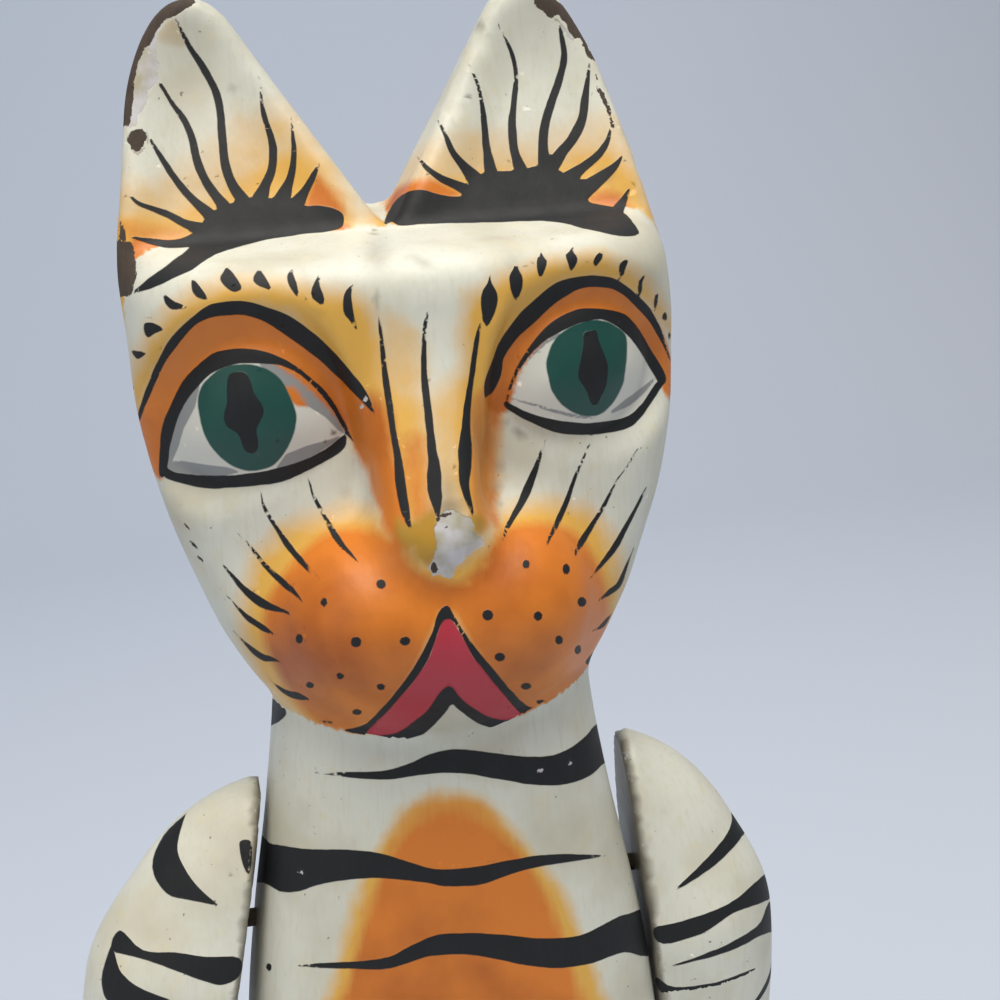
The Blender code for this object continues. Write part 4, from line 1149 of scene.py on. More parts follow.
@dataclass
class Skin:
    """A fine skin over one solid, laid on the solid's own form and carrying its paint."""

    name: str
    node: str
    form: Callable[[Array], Array]
    cell: float
    paint: Callable[[Array, Array], dict[Layer, Array]]
    passes: int = 3
    sink: float = 0.0
    hole_depth: float = 1.2
    crease: Callable[[Array], Array] | None = None
    fine_edges: tuple[tuple[float, float], ...] = ((1.7, 2.6), (0.95, 1.3), (0.6, 0.6))

    def surface(self, p: Array) -> Array:
        """The distance to the skin, which may lie a hair under the form."""
        return self.form(p) + self.sink

    def start(self) -> bpy.types.Mesh:
        """An even net of small faces over the solid, without the holes for its pegs."""
        rough = bpy.data.meshes.new(self.name + "_rough")
        bm = bmesh.new()
        bm.from_mesh(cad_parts[self.node].data)
        bmesh.ops.remove_doubles(bm, verts=bm.verts, dist=1e-6)
        bm.to_mesh(rough)
        bm.free()
        holder = bpy.data.objects.new(self.name + "_rough", rough)
        bpy.context.scene.collection.objects.link(holder)
        remesh = holder.modifiers.new("Even_net", "REMESH")
        remesh.mode = "VOXEL"
        remesh.voxel_size = self.cell * MM
        seen = holder.evaluated_get(bpy.context.evaluated_depsgraph_get())
        mesh = bpy.data.meshes.new_from_object(seen)
        bpy.data.objects.remove(holder)
        bpy.data.meshes.remove(rough)
        mesh.name = self.name
        deep = np.flatnonzero(self.surface(points_of(mesh)) < -self.hole_depth)
        bm = bmesh.new()
        bm.from_mesh(mesh)
        bm.verts.ensure_lookup_table()
        bmesh.ops.delete(bm, geom=[bm.verts[i] for i in deep], context="VERTS")
        bmesh.ops.holes_fill(bm, edges=[e for e in bm.edges if e.is_boundary], sides=0)
        bmesh.ops.triangulate(bm, faces=bm.faces)
        bm.to_mesh(mesh)
        bm.free()
        return mesh

    def lay(self, mesh: bpy.types.Mesh) -> None:
        """Evens the net out and lays it on the form, a few times over."""
        for _ in range(self.passes):
            bm = bmesh.new()
            bm.from_mesh(mesh)
            bmesh.ops.smooth_vert(bm, verts=bm.verts, factor=0.5, use_axis_x=True, use_axis_y=True, use_axis_z=True)
            bm.to_mesh(mesh)
            bm.free()
            set_points(mesh, settle(self.surface, points_of(mesh)))

    def refine(self, mesh: bpy.types.Mesh, longest: float, within: float) -> None:
        """Cuts the long edges that lie near the edge of any paint.

        Args:
            mesh: the skin's mesh.
            longest: the edges longer than this are cut, in mm.
            within: how near the edge of paint they must lie, in mm.
        """
        p = points_of(mesh)
        near = self.nearness(p)
        bm = bmesh.new()
        bm.from_mesh(mesh)
        ends = np.array([(e.verts[0].index, e.verts[1].index) for e in bm.edges])
        length = np.linalg.norm(p[ends[:, 0]] - p[ends[:, 1]], axis=1)
        close = np.minimum(near[ends[:, 0]], near[ends[:, 1]]) < within
        bm.edges.ensure_lookup_table()
        cut = [bm.edges[i] for i in np.flatnonzero(close & (length > longest))]
        bmesh.ops.subdivide_edges(bm, edges=cut, cuts=1, use_grid_fill=True)
        bmesh.ops.triangulate(bm, faces=[f for f in bm.faces if len(f.verts) > 3])
        bm.to_mesh(mesh)
        bm.free()
        set_points(mesh, settle(self.surface, points_of(mesh), steps=2, most=0.8))

    def nearness(self, p: Array) -> Array:
        """How near each point lies to the edge of any hard-edged paint, in mm."""
        layers = self.paint(p, facing_out(self.surface, p))
        hard = (Layer.INK, Layer.IRIS, Layer.LIP, Layer.WOOD, Layer.PRIMER, Layer.EYEBALL, Layer.EYE_GREY)
        edges = [np.abs(layers[layer]) for layer in hard]
        if self.crease:
            edges.append(np.abs(self.crease(p)))
        return np.min(edges, axis=0)

    def build(self) -> bpy.types.Object:
        """Makes the skin, with one vertex attribute for each layer of paint."""
        mesh = self.start()
        self.lay(mesh)
        for longest, within in self.fine_edges:
            self.refine(mesh, longest, within)
        p = points_of(mesh)
        normals = facing_out(self.surface, p)
        layers = self.paint(p, normals)
        for layer, values in layers.items():
            attribute = mesh.attributes.new(layer.value, "FLOAT", "POINT")
            attribute.data.foreach_set("value", values.astype(np.float32))
        mesh.polygons.foreach_set("use_smooth", np.ones(len(mesh.polygons), dtype=bool))
        mesh.update()
        skin = bpy.data.objects.new(self.name, mesh)
        bpy.context.scene.collection.objects.link(skin)
        return skin


@dataclass(frozen=True)
class Wedge:
    """A stripe round an upright limb, from full width at one angle to a point at another. Degrees start in front."""

    start: float
    end: float
    height: float
    rise: float = -6.0
    width: float = 10.0
    tip: float = 0.6

    def distance(self, angle: Array, z: Array, radius: float) -> Array:
        """Signed distance in mm to the stripe's edge.

        Args:
            angle: degrees round the limb's axis, from 0 in front towards +X.
            z: heights.
            radius: the limb's rough radius, which turns angles into lengths.

        Returns:
            The distance, negative on the stripe.
        """
        span = self.end - self.start
        t = ((angle - self.start) * math.copysign(1.0, span)) % 360.0 / abs(span)
        t = np.where(t > 180.0 / abs(span) + 0.5, t - 360.0 / abs(span), t)
        inner = np.clip(t, 0.0, 1.0)
        middle = self.height + self.rise * inner + 2.5 * np.sin(inner * math.pi)
        half = 0.5 * (self.width + (self.tip - self.width) * inner**1.3)
        past = np.maximum(t - 1.0, -t) * abs(span) * math.pi / 180.0 * radius
        return np.maximum(np.abs(z - middle) - half, past)


@dataclass(frozen=True)
class HiddenPaint:
    """The paint of the parts that the picture doesn't show, in the manner of those that it does and plainer."""

    trunk_radius: float = 45.0
    round_back: tuple[Wedge, ...] = (
        Wedge(-84.0, -200.0, 297.0, 4.0, 8.0), Wedge(72.0, 205.0, 283.0), Wedge(-98.0, -225.0, 262.0),
        Wedge(74.0, 208.0, 236.0), Wedge(-92.0, -215.0, 209.0), Wedge(84.0, 210.0, 182.0),
        Wedge(-92.0, -210.0, 155.0), Wedge(84.0, 208.0, 128.0),
    )
    round_front: tuple[Wedge, ...] = (
        Wedge(-92.0, -8.0, 208.0), Wedge(84.0, 4.0, 182.0), Wedge(-92.0, -10.0, 154.0), Wedge(84.0, 12.0, 128.0),
    )
    leg_axis: float = 24.0
    leg_radius: float = 24.0
    left_leg: tuple[Wedge, ...] = (
        Wedge(-100.0, 45.0, 104.0, -5.0, 9.0), Wedge(-100.0, 45.0, 78.0, -5.0, 8.5),
        Wedge(-100.0, 40.0, 52.0, -5.0, 8.0), Wedge(-100.0, -240.0, 92.0, -5.0, 8.0),
        Wedge(-100.0, -240.0, 64.0, -5.0, 8.0), Wedge(-100.0, -235.0, 37.0, -4.0, 7.0),
    )
    right_leg: tuple[Wedge, ...] = (
        Wedge(100.0, -45.0, 100.0, -5.0, 9.0), Wedge(100.0, -45.0, 73.0, -5.0, 8.5),
        Wedge(100.0, -40.0, 47.0, -5.0, 8.0), Wedge(100.0, 240.0, 88.0, -5.0, 8.0),
        Wedge(100.0, 240.0, 60.0, -5.0, 8.0), Wedge(100.0, 235.0, 34.0, -4.0, 7.0),
    )
    head_radius: float = 46.0
    head_back: tuple[Wedge, ...] = (
        Wedge(150.0, 215.0, 22.0, 6.0, 7.0), Wedge(-135.0, -205.0, 6.0, 4.0, 7.0),
        Wedge(140.0, 210.0, -10.0, 4.0, 7.0), Wedge(-132.0, -205.0, -27.0, 4.0, 7.0),
        Wedge(142.0, 212.0, -44.0, 4.0, 6.0),
    )
    tail_ring: float = 17.0
    tail_ring_width: float = 6.5
    toe_line: float = 0.75
    toes_across: tuple[float, float] = (16.5, 28.5)
    belly_heights: tuple[float, ...] = (98.0, 112.0, 135.0, 165.0, 195.0, 222.0, 240.0)
    belly_widths: tuple[float, ...] = (-8.0, 13.0, 24.0, 30.0, 31.5, 28.5, 20.5)

    def trunk(self, p: Array, pictured: Array) -> Array:
        """The stripes of the torso and legs, where the picture doesn't show them.

        Args:
            p: points of the cat.
            pictured: 1 where the picture shows the torso, 0 where it doesn't.

        Returns:
            The distance to the nearest stripe's edge, negative on one.
        """
        x, y, z = p.T
        angle = np.degrees(np.arctan2(x, -y))
        ink = np.full(len(p), FAR)
        for band in self.round_back:
            ink = np.minimum(ink, band.distance(angle, z, self.trunk_radius))
        for band in self.round_front:
            ink = np.minimum(ink, band.distance(angle, z, self.trunk_radius))
        for side, bands in ((-1.0, self.left_leg), (1.0, self.right_leg)):
            leg_angle = np.degrees(np.arctan2(x - side * self.leg_axis, -y))
            other = np.where(side * x > 2.0, -FAR, FAR)
            for band in bands:
                ink = np.minimum(ink, np.maximum(band.distance(leg_angle, z, self.leg_radius), other))
        return ink + FAR * pictured

    def head(self, q: Array) -> Array:
        """The stripes on the back of the head, in its own frame."""
        angle = np.degrees(np.arctan2(q[:, 0], -q[:, 1]))
        ink = np.full(len(q), FAR)
        for band in self.head_back:
            ink = np.minimum(ink, band.distance(angle, q[:, 2], self.head_radius))
        return np.where(q[:, 2] > 30.0, FAR, ink)

    def tail(self, cat: CatForm, p: Array) -> tuple[Array, Array]:
        """Rings round the tail.

        Args:
            cat: the carving.
            p: points of the cat.

        Returns:
            The distance to the nearest ring's edge, and the distance from the tail's surface.
        """
        best = np.full(len(p), 1e3)
        along = np.zeros(len(p))
        run = 0.0
        for i in range(len(cat.tail_radii) - 1):
            first, last = np.array(cat.tail_points[i]), np.array(cat.tail_points[i + 1])
            length = np.linalg.norm(last - first)
            t = np.clip((p - first) @ (last - first) / length**2, 0.0, 1.0)
            stretch = taper(p, *cat.tail_points[i:i + 2], *cat.tail_radii[i:i + 2])
            closer = stretch < best
            best = np.where(closer, stretch, best)
            along = np.where(closer, run + t * length, along)
            run += length
        ring = np.abs((along - 20.0) % self.tail_ring - 0.5 * self.tail_ring) - 0.5 * self.tail_ring_width
        return np.minimum(ring, run - 16.0 - along), best

    def toes(self, p: Array) -> Array:
        """Lines in the grooves between the toes."""
        x, y, z = p.T
        ink = np.full(len(p), FAR)
        for across in self.toes_across:
            ink = np.minimum(ink, np.abs(np.abs(x) - across) - self.toe_line * ramp(-y, 30.0, 42.0))
        return np.where((-y > 34.0) & (z > 1.0) & (z < 30.0), ink, FAR)

    def belly(self, p: Array) -> Array:
        """Signed distance to the edge of the orange belly."""
        width = curve_through(p[:, 2], np.array(self.belly_heights), np.array(self.belly_widths))
        middle = 1.5 + 0.02 * (p[:, 2] - 200.0)
        return np.where(p[:, 1] < 0.0, (np.abs(p[:, 0] - middle) - width) * 0.85, FAR)


@dataclass(frozen=True)
class ArmBands:
    """The stripes round an arm where the picture doesn't show it, in the arm's own frame."""

    radius: float = 19.0
    bands: tuple[Wedge, ...] = (
        Wedge(150.0, 60.0, 22.0, -5.0, 8.0), Wedge(155.0, 55.0, -4.0, -5.0, 8.0),
        Wedge(155.0, 45.0, -30.0, -5.0, 8.0), Wedge(20.0, 150.0, -48.0, -5.0, 8.0),
        Wedge(155.0, 25.0, -68.0, -5.0, 7.5), Wedge(20.0, 150.0, -86.0, -4.0, 7.0),
    )

    def distance(self, q: Array) -> Array:
        """Signed distance to the nearest stripe's edge, negative on one."""
        angle = np.degrees(np.arctan2(q[:, 0] - 2.0, -q[:, 1]))
        ink = np.full(len(q), FAR)
        for band in self.bands:
            ink = np.minimum(ink, band.distance(angle, q[:, 2], self.radius))
        return ink


@dataclass(frozen=True)
class Brush:
    """Reads marks through the picture's camera and keeps them on the surfaces that face it."""

    camera: PhotoCamera
    margin: float = 42.0

    def facing(self, p: Array, normals: Array) -> Array:
        """1 on surfaces that face the camera, 0 on those turned well away."""
        _, _, towards = self.camera.project(p)
        return ramp((normals * towards).sum(axis=1), -0.35, -0.05)

    def read(self, p: Array, normals: Array, layers: Layers, zone: Array) -> dict[Layer, Array]:
        """Puts marks on the points of one zone.

        Args:
            p: points of the cat.
            normals: the surface's normals there.
            layers: the marks of each layer.
            zone: which points may carry them.

        Returns:
            For hard paint the distance to its edge in mm, negative on it, and for soft paint its strength.
        """
        pixels, scale, _ = self.camera.project(p)
        hidden = 1.0 - self.facing(p, normals)
        read = {}
        for layer, marks in layers.items():
            soft = layer in WASHES
            value = np.full(len(p), 0.0 if soft else FAR)
            for mark in marks:
                distance = mark.distance(pixels, self.margin) / scale
                distance = np.maximum(distance + FAR * hidden, FAR * (2.0 * hidden - 1.0))
                distance = np.where(zone, distance, FAR)
                if soft:
                    value = np.maximum(value, mark.strength * ramp(-distance, -mark.soft, mark.soft))
                else:
                    value = np.minimum(value, distance)
            read[layer] = value
        return read


def blank_layers(count: int) -> dict[Layer, Array]:
    """Every layer with nothing painted."""
    strengths = (*WASHES, Layer.HOLLOW, Layer.EDGE)
    return {layer: np.full(count, 0.0 if layer in strengths else FAR) for layer in Layer}


def add_layers(layers: dict[Layer, Array], more: dict[Layer, Array]) -> None:
    """Lays further marks over those that are there."""
    for layer, values in more.items():
        over = np.maximum if layer in WASHES else np.minimum
        layers[layer] = over(layers[layer], values)


def wear_of(form: Callable[[Array], Array], p: Array, normals: Array, reach: float = 2.5) -> tuple[Array, Array]:
    """How hollow and how sharp a form is at points, each from 0 to 1.

    Args:
        form: gives the distance from points to the surface.
        p: points on the surface.
        normals: the surface's normals there.
        reach: how far out and in the form is felt, in mm.

    Returns:
        The hollowness, where the colour is darkened, and the sharpness, where paint wears through.
    """
    hollow = 1.0 - form(p + reach * normals) / reach
    sharp = 1.0 + form(p - reach * normals) / reach
    return ramp(hollow, 0.03, 0.6), ramp(sharp, 0.05, 0.6)


@dataclass(frozen=True)
class BodyPaint:
    """Everything painted on the head, torso, legs, tail and base."""

    cat: CatForm
    brush: Brush
    ears: EarPaint = EarPaint()
    brows: BrowPaint = BrowPaint()
    eyes: EyePaint = EyePaint()
    nose: NosePaint = NosePaint()
    muzzle: MuzzlePaint = MuzzlePaint()
    chest: ChestPaint = ChestPaint()
    hidden: HiddenPaint = HiddenPaint()
    picture_foot: float = 221.0

    def __call__(self, p: Array, normals: Array) -> dict[Layer, Array]:
        """Paints the body's skin.

        Args:
            p: points on it.
            normals: its normals there.

        Returns:
            The layers of paint at the points.
        """
        layers = blank_layers(len(p))
        q = self.cat.in_head(p)
        on_head = self.cat.head(q) < self.cat.torso(p)
        on_ear = on_head & (self.cat.ear(q) < self.cat.face(q) + 0.4)
        for part in (self.ears, self.brows, self.eyes, self.nose, self.muzzle):
            add_layers(layers, self.brush.read(p, normals, part.marks(), on_head))
        add_layers(layers, self.brush.read(p, normals, self.ears.washes(), on_ear))
        add_layers(layers, self.brush.read(p, normals, self.brows.washes(), on_head & ~on_ear))
        shown = ~on_head & (p[:, 2] > self.picture_foot - 4.0)
        add_layers(layers, self.brush.read(p, normals, self.chest.marks(), shown))
        self.add_hidden(layers, p, q, normals, on_head)
        for layer in (Layer.IRIS, Layer.EYE_GREY):
            layers[layer] = np.maximum(layers[layer], layers[Layer.EYEBALL] - 0.3)
        layers[Layer.HOLLOW], layers[Layer.EDGE] = wear_of(self.cat.depth, p, normals)
        return layers

    def add_hidden(self, layers: dict[Layer, Array], p: Array, q: Array, normals: Array, on_head: Array) -> None:
        """Adds the paint that the picture doesn't show."""
        facing = self.brush.facing(p, normals)
        pictured = facing * ramp(p[:, 2], self.picture_foot - 3.0, self.picture_foot)
        ink = self.hidden.trunk(p, pictured)
        rings, tail = self.hidden.tail(self.cat, p)
        on_tail = (tail < 1.5) & (tail < self.cat.torso(p)) & ~on_head
        ink = np.where(on_tail, rings, ink)
        ink = np.minimum(ink, self.hidden.toes(p))
        ink = np.where(on_head, FAR, ink)
        back = self.hidden.head(q) + FAR * ramp(facing, 0.0, 0.6)
        ink = np.where(on_head & (q[:, 1] > 0.0), np.minimum(ink, back), ink)
        ink = np.where(p[:, 2] < 0.4, -2.0, ink)
        layers[Layer.INK] = np.minimum(layers[Layer.INK], ink)
        below = on_head | (p[:, 2] > self.picture_foot)
        belly = np.where(below, FAR, self.hidden.belly(p))
        layers[Layer.ORANGE] = np.maximum(layers[Layer.ORANGE], ramp(-belly, -1.6, 1.6))
        layers[Layer.AMBER] = np.maximum(layers[Layer.AMBER], ramp(-belly, -5.5, 0.5))


@dataclass(frozen=True)
class ArmPaint:
    """Everything painted on one arm."""

    arm: ArmForm
    brush: Brush
    stripes: LeftArmPaint | RightArmPaint
    bands: ArmBands = ArmBands()
    picture_foot: float = 223.0

    def __call__(self, p: Array, normals: Array) -> dict[Layer, Array]:
        """Paints the arm's skin.

        Args:
            p: points on it.
            normals: its normals there.

        Returns:
            The layers of paint at the points.
        """
        layers = blank_layers(len(p))
        q = self.arm.own(p)
        shown = p[:, 2] > self.picture_foot - 4.0
        add_layers(layers, self.brush.read(p, normals, self.stripes.marks(), shown))
        facing = self.brush.facing(p, normals)
        pictured = facing * ramp(p[:, 2], self.picture_foot - 3.0, self.picture_foot)
        ink = self.bands.distance(q) + FAR * pictured
        layers[Layer.INK] = np.minimum(layers[Layer.INK], ink)
        layers[Layer.GRIME] = np.maximum(layers[Layer.GRIME], 0.8 * ramp(-q[:, 0], -1.8, -0.8))
        layers[Layer.HOLLOW], layers[Layer.EDGE] = wear_of(self.arm.depth, p, normals)
        return layers


def linear(colour: str) -> tuple[float, float, float, float]:
    """A #RRGGBB screen colour as linear light, with full cover."""
    parts = [int(colour[i:i + 2], 16) / 255.0 for i in (1, 3, 5)]
    light = [c / 12.92 if c <= 0.04045 else ((c + 0.055) / 1.055) ** 2.4 for c in parts]
    return light[0], light[1], light[2], 1.0


def node(tree: bpy.types.NodeTree, kind: str, inputs: dict | None = None, **settings: object) -> bpy.types.Node:
    """Adds one node.

    Args:
        tree: the material's node tree.
        kind: the node's type.
        inputs: values or sockets for its inputs, by name or number.
        settings: the node's own settings.

    Returns:
        The node.
    """
    made = tree.nodes.new(kind)
    for name, value in settings.items():
        setattr(made, name, value)
    for key, value in (inputs or {}).items():
        if isinstance(value, bpy.types.NodeSocket):
            tree.links.new(value, made.inputs[key])
        else:
            made.inputs[key].default_value = value
    return made


def new_material(name: str) -> tuple[bpy.types.Material, bpy.types.NodeTree]:
    """An empty material and its node tree."""
    material = bpy.data.materials.new(name)
    material.use_nodes = True
    material.node_tree.nodes.clear()
    return material, material.node_tree


@dataclass(frozen=True)
class AgedPaint:
    """Old hand-brushed gloss paint on carved softwood, over a pale ground.

    It gives the eye a yellowed white with cloudy stains and fine brush drag, washes that thin out at their edges,
    thick black strokes with slightly rough edges, and chips down to a lilac ground or to dark bare wood.
    """

    white: str = "#D6D6C9"
    white_stain: str = "#C2BDA9"
    white_yellowed: str = "#D5C79F"
    amber: str = "#DCA94A"
    orange: str = "#D47820"
    orange_deep: str = "#A9560F"
    olive: str = "#B4882A"
    eyeball: str = "#D2D0C6"
    # The grey of the painted shade inside the eyelids.
    eye_grey: str = "#8E8F8E"
    iris: str = "#0A463E"
    iris_pale: str = "#125247"
    ink: str = "#05080D"
    ink_worn: str = "#14181F"
    lip: str = "#B32E3E"
    primer: str = "#C6C4C8"
    primer_stained: str = "#A9A28C"
    wood: str = "#54473D"
    wood_dark: str = "#2B221C"
    # The colour of dirt and smudges, of the painted shade over the ear fronts, and of the darkened hollows.
    grime: str = "#5F564A"
    gloss: float = 0.36
    cloud_mm: float = 24.0
    stain_mm: float = 5.0
    grain_mm: float = 0.8
    flake_mm: float = 2.5

    def covered(
        self, tree: bpy.types.NodeTree, layer: Layer, rough: bpy.types.NodeSocket, wobble: float, soft: float
    ) -> bpy.types.NodeSocket:
        """Where a hard layer lies.

        Args:
            tree: the material's node tree.
            layer: which layer.
            rough: noise that unsettles its edge.
            wobble: how far the noise moves the edge, in mm.
            soft: how far the edge fades to either side, in mm.

        Returns:
            A socket that is 1 on the layer and 0 off it.
        """
        distance = node(tree, "ShaderNodeAttribute", attribute_name=layer.value).outputs["Fac"]
        uneven = node(tree, "ShaderNodeMath", {0: rough, 1: wobble, 2: distance}, operation="MULTIPLY_ADD")
        edge = {"Value": uneven.outputs[0], "From Min": 0.5 * wobble + soft, "From Max": 0.5 * wobble - soft}
        return node(tree, "ShaderNodeMapRange", edge, interpolation_type="SMOOTHSTEP").outputs["Result"]

    def washed(self, tree: bpy.types.NodeTree, layer: Layer, rough: bpy.types.NodeSocket) -> bpy.types.NodeSocket:
        """Where a thin wash lies, broken up by the brush towards its edge."""
        strength = node(tree, "ShaderNodeAttribute", attribute_name=layer.value).outputs["Fac"]
        broken = node(tree, "ShaderNodeMath", {0: rough, 1: 0.5, 2: strength}, operation="MULTIPLY_ADD")
        edge = {"Value": broken.outputs[0], "From Min": 0.22, "From Max": 1.18}
        spread = node(tree, "ShaderNodeMapRange", edge).outputs["Result"]
        held = {"Value": strength, "From Max": 0.2}
        held_in = node(tree, "ShaderNodeMapRange", held).outputs["Result"]
        return node(tree, "ShaderNodeMath", {0: spread, 1: held_in}, operation="MULTIPLY").outputs[0]

    def build(self) -> bpy.types.Material:
        """Makes the material."""
        material, tree = new_material("Aged_paint_on_wood")
        at = node(tree, "ShaderNodeTexCoord").outputs["Object"]
        cloud = node(tree, "ShaderNodeTexNoise", {"Vector": at, "Scale": 1000 / self.cloud_mm, "Detail": 4.0})
        stain = node(tree, "ShaderNodeTexNoise", {"Vector": at, "Scale": 1000 / self.stain_mm, "Detail": 5.0})
        grain = node(tree, "ShaderNodeTexNoise", {"Vector": at, "Scale": 1000 / self.grain_mm, "Detail": 3.0})
        upright = node(tree, "ShaderNodeMapping", {"Vector": at, "Scale": (1.0, 1.0, 0.12)}).outputs["Vector"]
        drag = node(tree, "ShaderNodeTexNoise", {"Vector": upright, "Scale": 900.0, "Detail": 4.0, "Roughness": 0.6})
        specks = node(tree, "ShaderNodeTexNoise", {"Vector": at, "Scale": 760.0, "Detail": 2.0, "Roughness": 0.4})
        soft_noise, fine = stain.outputs["Fac"], grain.outputs["Fac"]
        torn = {"Vector": at, "Scale": 1000 / self.flake_mm, "Detail": 5.0, "Roughness": 0.7}
        ragged = node(tree, "ShaderNodeTexNoise", torn).outputs["Fac"]

        cloudy = {"Value": cloud.outputs["Fac"], "From Min": 0.45, "From Max": 0.72}
        clouds = node(tree, "ShaderNodeMapRange", cloudy).outputs["Result"]
        yellowed = {"Value": soft_noise, "From Min": 0.55, "From Max": 0.85, "To Max": 0.55}
        yellow = node(tree, "ShaderNodeMapRange", yellowed).outputs["Result"]
        streaked = {"Value": drag.outputs["Fac"], "From Min": 0.5, "From Max": 0.8, "To Max": 0.45}
        streaks = node(tree, "ShaderNodeMapRange", streaked).outputs["Result"]
        speckled = {"Value": specks.outputs["Fac"], "From Min": 0.745, "From Max": 0.77, "To Max": 0.7}
        dirt = node(tree, "ShaderNodeMapRange", speckled).outputs["Result"]
        # Darker in the hollows, by how hollow the form is there.
        hollow = node(tree, "ShaderNodeAttribute", attribute_name=Layer.HOLLOW.value).outputs["Fac"]
        hollow_range = {"Value": hollow, "From Min": 0.25, "From Max": 1.3, "To Max": 0.45}
        hollow_darkening = node(tree, "ShaderNodeMapRange", hollow_range).outputs["Result"]
        sharp = node(tree, "ShaderNodeAttribute", attribute_name=Layer.EDGE.value).outputs["Fac"]
        rubbed = node(tree, "ShaderNodeMath", {0: fine, 1: 0.6, 2: sharp}, operation="MULTIPLY_ADD").outputs[0]
        worn_edge = {"Value": rubbed, "From Min": 1.26, "From Max": 1.34}
        worn = node(tree, "ShaderNodeMapRange", worn_edge).outputs["Result"]

        ink = self.covered(tree, Layer.INK, soft_noise, 0.5, 0.12)
        iris = self.covered(tree, Layer.IRIS, soft_noise, 0.6, 0.2)
        eyeball = self.covered(tree, Layer.EYEBALL, soft_noise, 0.4, 0.3)
        lip = self.covered(tree, Layer.LIP, soft_noise, 0.5, 0.15)
        primer = self.covered(tree, Layer.PRIMER, ragged, 2.4, 0.1)
        wood = self.covered(tree, Layer.WOOD, ragged, 2.0, 0.08)
        # Painted shade inside the eyelids, grey over the eyeballs.
        eye_grey = self.covered(tree, Layer.EYE_GREY, soft_noise, 0.3, 0.15)
        amber = self.washed(tree, Layer.AMBER, soft_noise)
        orange = self.washed(tree, Layer.ORANGE, drag.outputs["Fac"])
        olive = self.washed(tree, Layer.OLIVE, soft_noise)
        # Smudges, stains and dirt, with the painted shade over the ear fronts.
        smudged_and_shaded = node(tree, "ShaderNodeAttribute", attribute_name=Layer.GRIME.value).outputs["Fac"]

        colour = linear(self.white)
        deep_orange = node(tree, "ShaderNodeMix", {0: clouds, 6: linear(self.orange), 7: linear(self.orange_deep)},
                           data_type="RGBA").outputs[2]
        thin_ink = node(tree, "ShaderNodeMix", {0: streaks, 6: linear(self.ink), 7: linear(self.ink_worn)},
                        data_type="RGBA").outputs[2]
        green = node(tree, "ShaderNodeMix", {0: yellow, 6: linear(self.iris), 7: linear(self.iris_pale)},
                     data_type="RGBA").outputs[2]
        grained = node(tree, "ShaderNodeMix", {0: drag.outputs["Fac"], 6: linear(self.wood),
                                               7: linear(self.wood_dark)},
                       data_type="RGBA").outputs[2]
        mottled = {"Value": soft_noise, "From Min": 0.36, "From Max": 0.62}
        mottle = node(tree, "ShaderNodeMapRange", mottled).outputs["Result"]
        ground = node(tree, "ShaderNodeMix", {0: mottle, 6: linear(self.primer), 7: linear(self.primer_stained)},
                      data_type="RGBA").outputs[2]
        coats = (
            (clouds, linear(self.white_stain)), (yellow, linear(self.white_yellowed)),
            (streaks, linear(self.white_stain)), (dirt, linear(self.grime)), (amber, linear(self.amber)),
            (eyeball, linear(self.eyeball)), (eye_grey, linear(self.eye_grey)), (orange, deep_orange),
            (olive, linear(self.olive)), (iris, green), (smudged_and_shaded, linear(self.grime)), (ink, thin_ink),
            (lip, linear(self.lip)), (hollow_darkening, linear(self.grime)), (primer, ground),
            (worn, ground), (wood, grained),
        )
        for cover, over in coats:
            colour = node(tree, "ShaderNodeMix", {0: cover, 6: colour, 7: over}, data_type="RGBA").outputs[2]

        bare = node(tree, "ShaderNodeMath", {0: wood, 1: primer}, operation="MAXIMUM").outputs[0]
        film = node(tree, "ShaderNodeMath", {0: ink, 1: bare}, operation="SUBTRACT").outputs[0]
        raised = node(tree, "ShaderNodeMath", {0: drag.outputs["Fac"], 1: 0.5, 2: film}, operation="MULTIPLY_ADD")
        lumpy = node(tree, "ShaderNodeMath", {0: soft_noise, 1: 0.8, 2: raised.outputs[0]}, operation="MULTIPLY_ADD")
        relief = node(tree, "ShaderNodeBump", {"Height": lumpy.outputs[0], "Strength": 0.6, "Distance": 0.00018})
        matt_ink = node(tree, "ShaderNodeMath", {0: ink, 1: 0.5, 2: bare}, operation="MULTIPLY_ADD", use_clamp=True)
        dull = {"Value": matt_ink.outputs[0], "To Min": self.gloss, "To Max": 0.8}
        roughness = node(tree, "ShaderNodeMapRange", dull).outputs["Result"]
        uneven = node(tree, "ShaderNodeMath", {0: soft_noise, 1: 0.16, 2: roughness}, operation="MULTIPLY_ADD")
        shader = node(tree, "ShaderNodeBsdfPrincipled", {
            "Base Color": colour, "Roughness": uneven.outputs[0], "IOR": 1.5, "Normal": relief.outputs["Normal"],
        })
        node(tree, "ShaderNodeOutputMaterial", {"Surface": shader.outputs["BSDF"]})
        return material


@dataclass(frozen=True)
class BareDowel:
    """A turned softwood peg, darkened by handling: fine grain along its length and no shine."""

    pale: str = "#5B4A3B"
    dark: str = "#31271F"
    roughness: float = 0.75

    def build(self) -> bpy.types.Material:
        """Makes the material."""
        material, tree = new_material("Bare_dowel")
        at = node(tree, "ShaderNodeTexCoord").outputs["Object"]
        along = node(tree, "ShaderNodeMapping", {"Vector": at, "Scale": (0.1, 1.0, 1.0)}).outputs["Vector"]
        grain = node(tree, "ShaderNodeTexNoise", {"Vector": along, "Scale": 2500.0, "Detail": 3.0}).outputs["Fac"]
        colour = node(tree, "ShaderNodeMix", {0: grain, 6: linear(self.pale), 7: linear(self.dark)}, data_type="RGBA")
        relief = node(tree, "ShaderNodeBump", {"Height": grain, "Strength": 0.5, "Distance": 0.0001})
        shader = node(tree, "ShaderNodeBsdfPrincipled", {
            "Base Color": colour.outputs[2], "Roughness": self.roughness, "Normal": relief.outputs["Normal"],
        })
        node(tree, "ShaderNodeOutputMaterial", {"Surface": shader.outputs["BSDF"]})
        return material


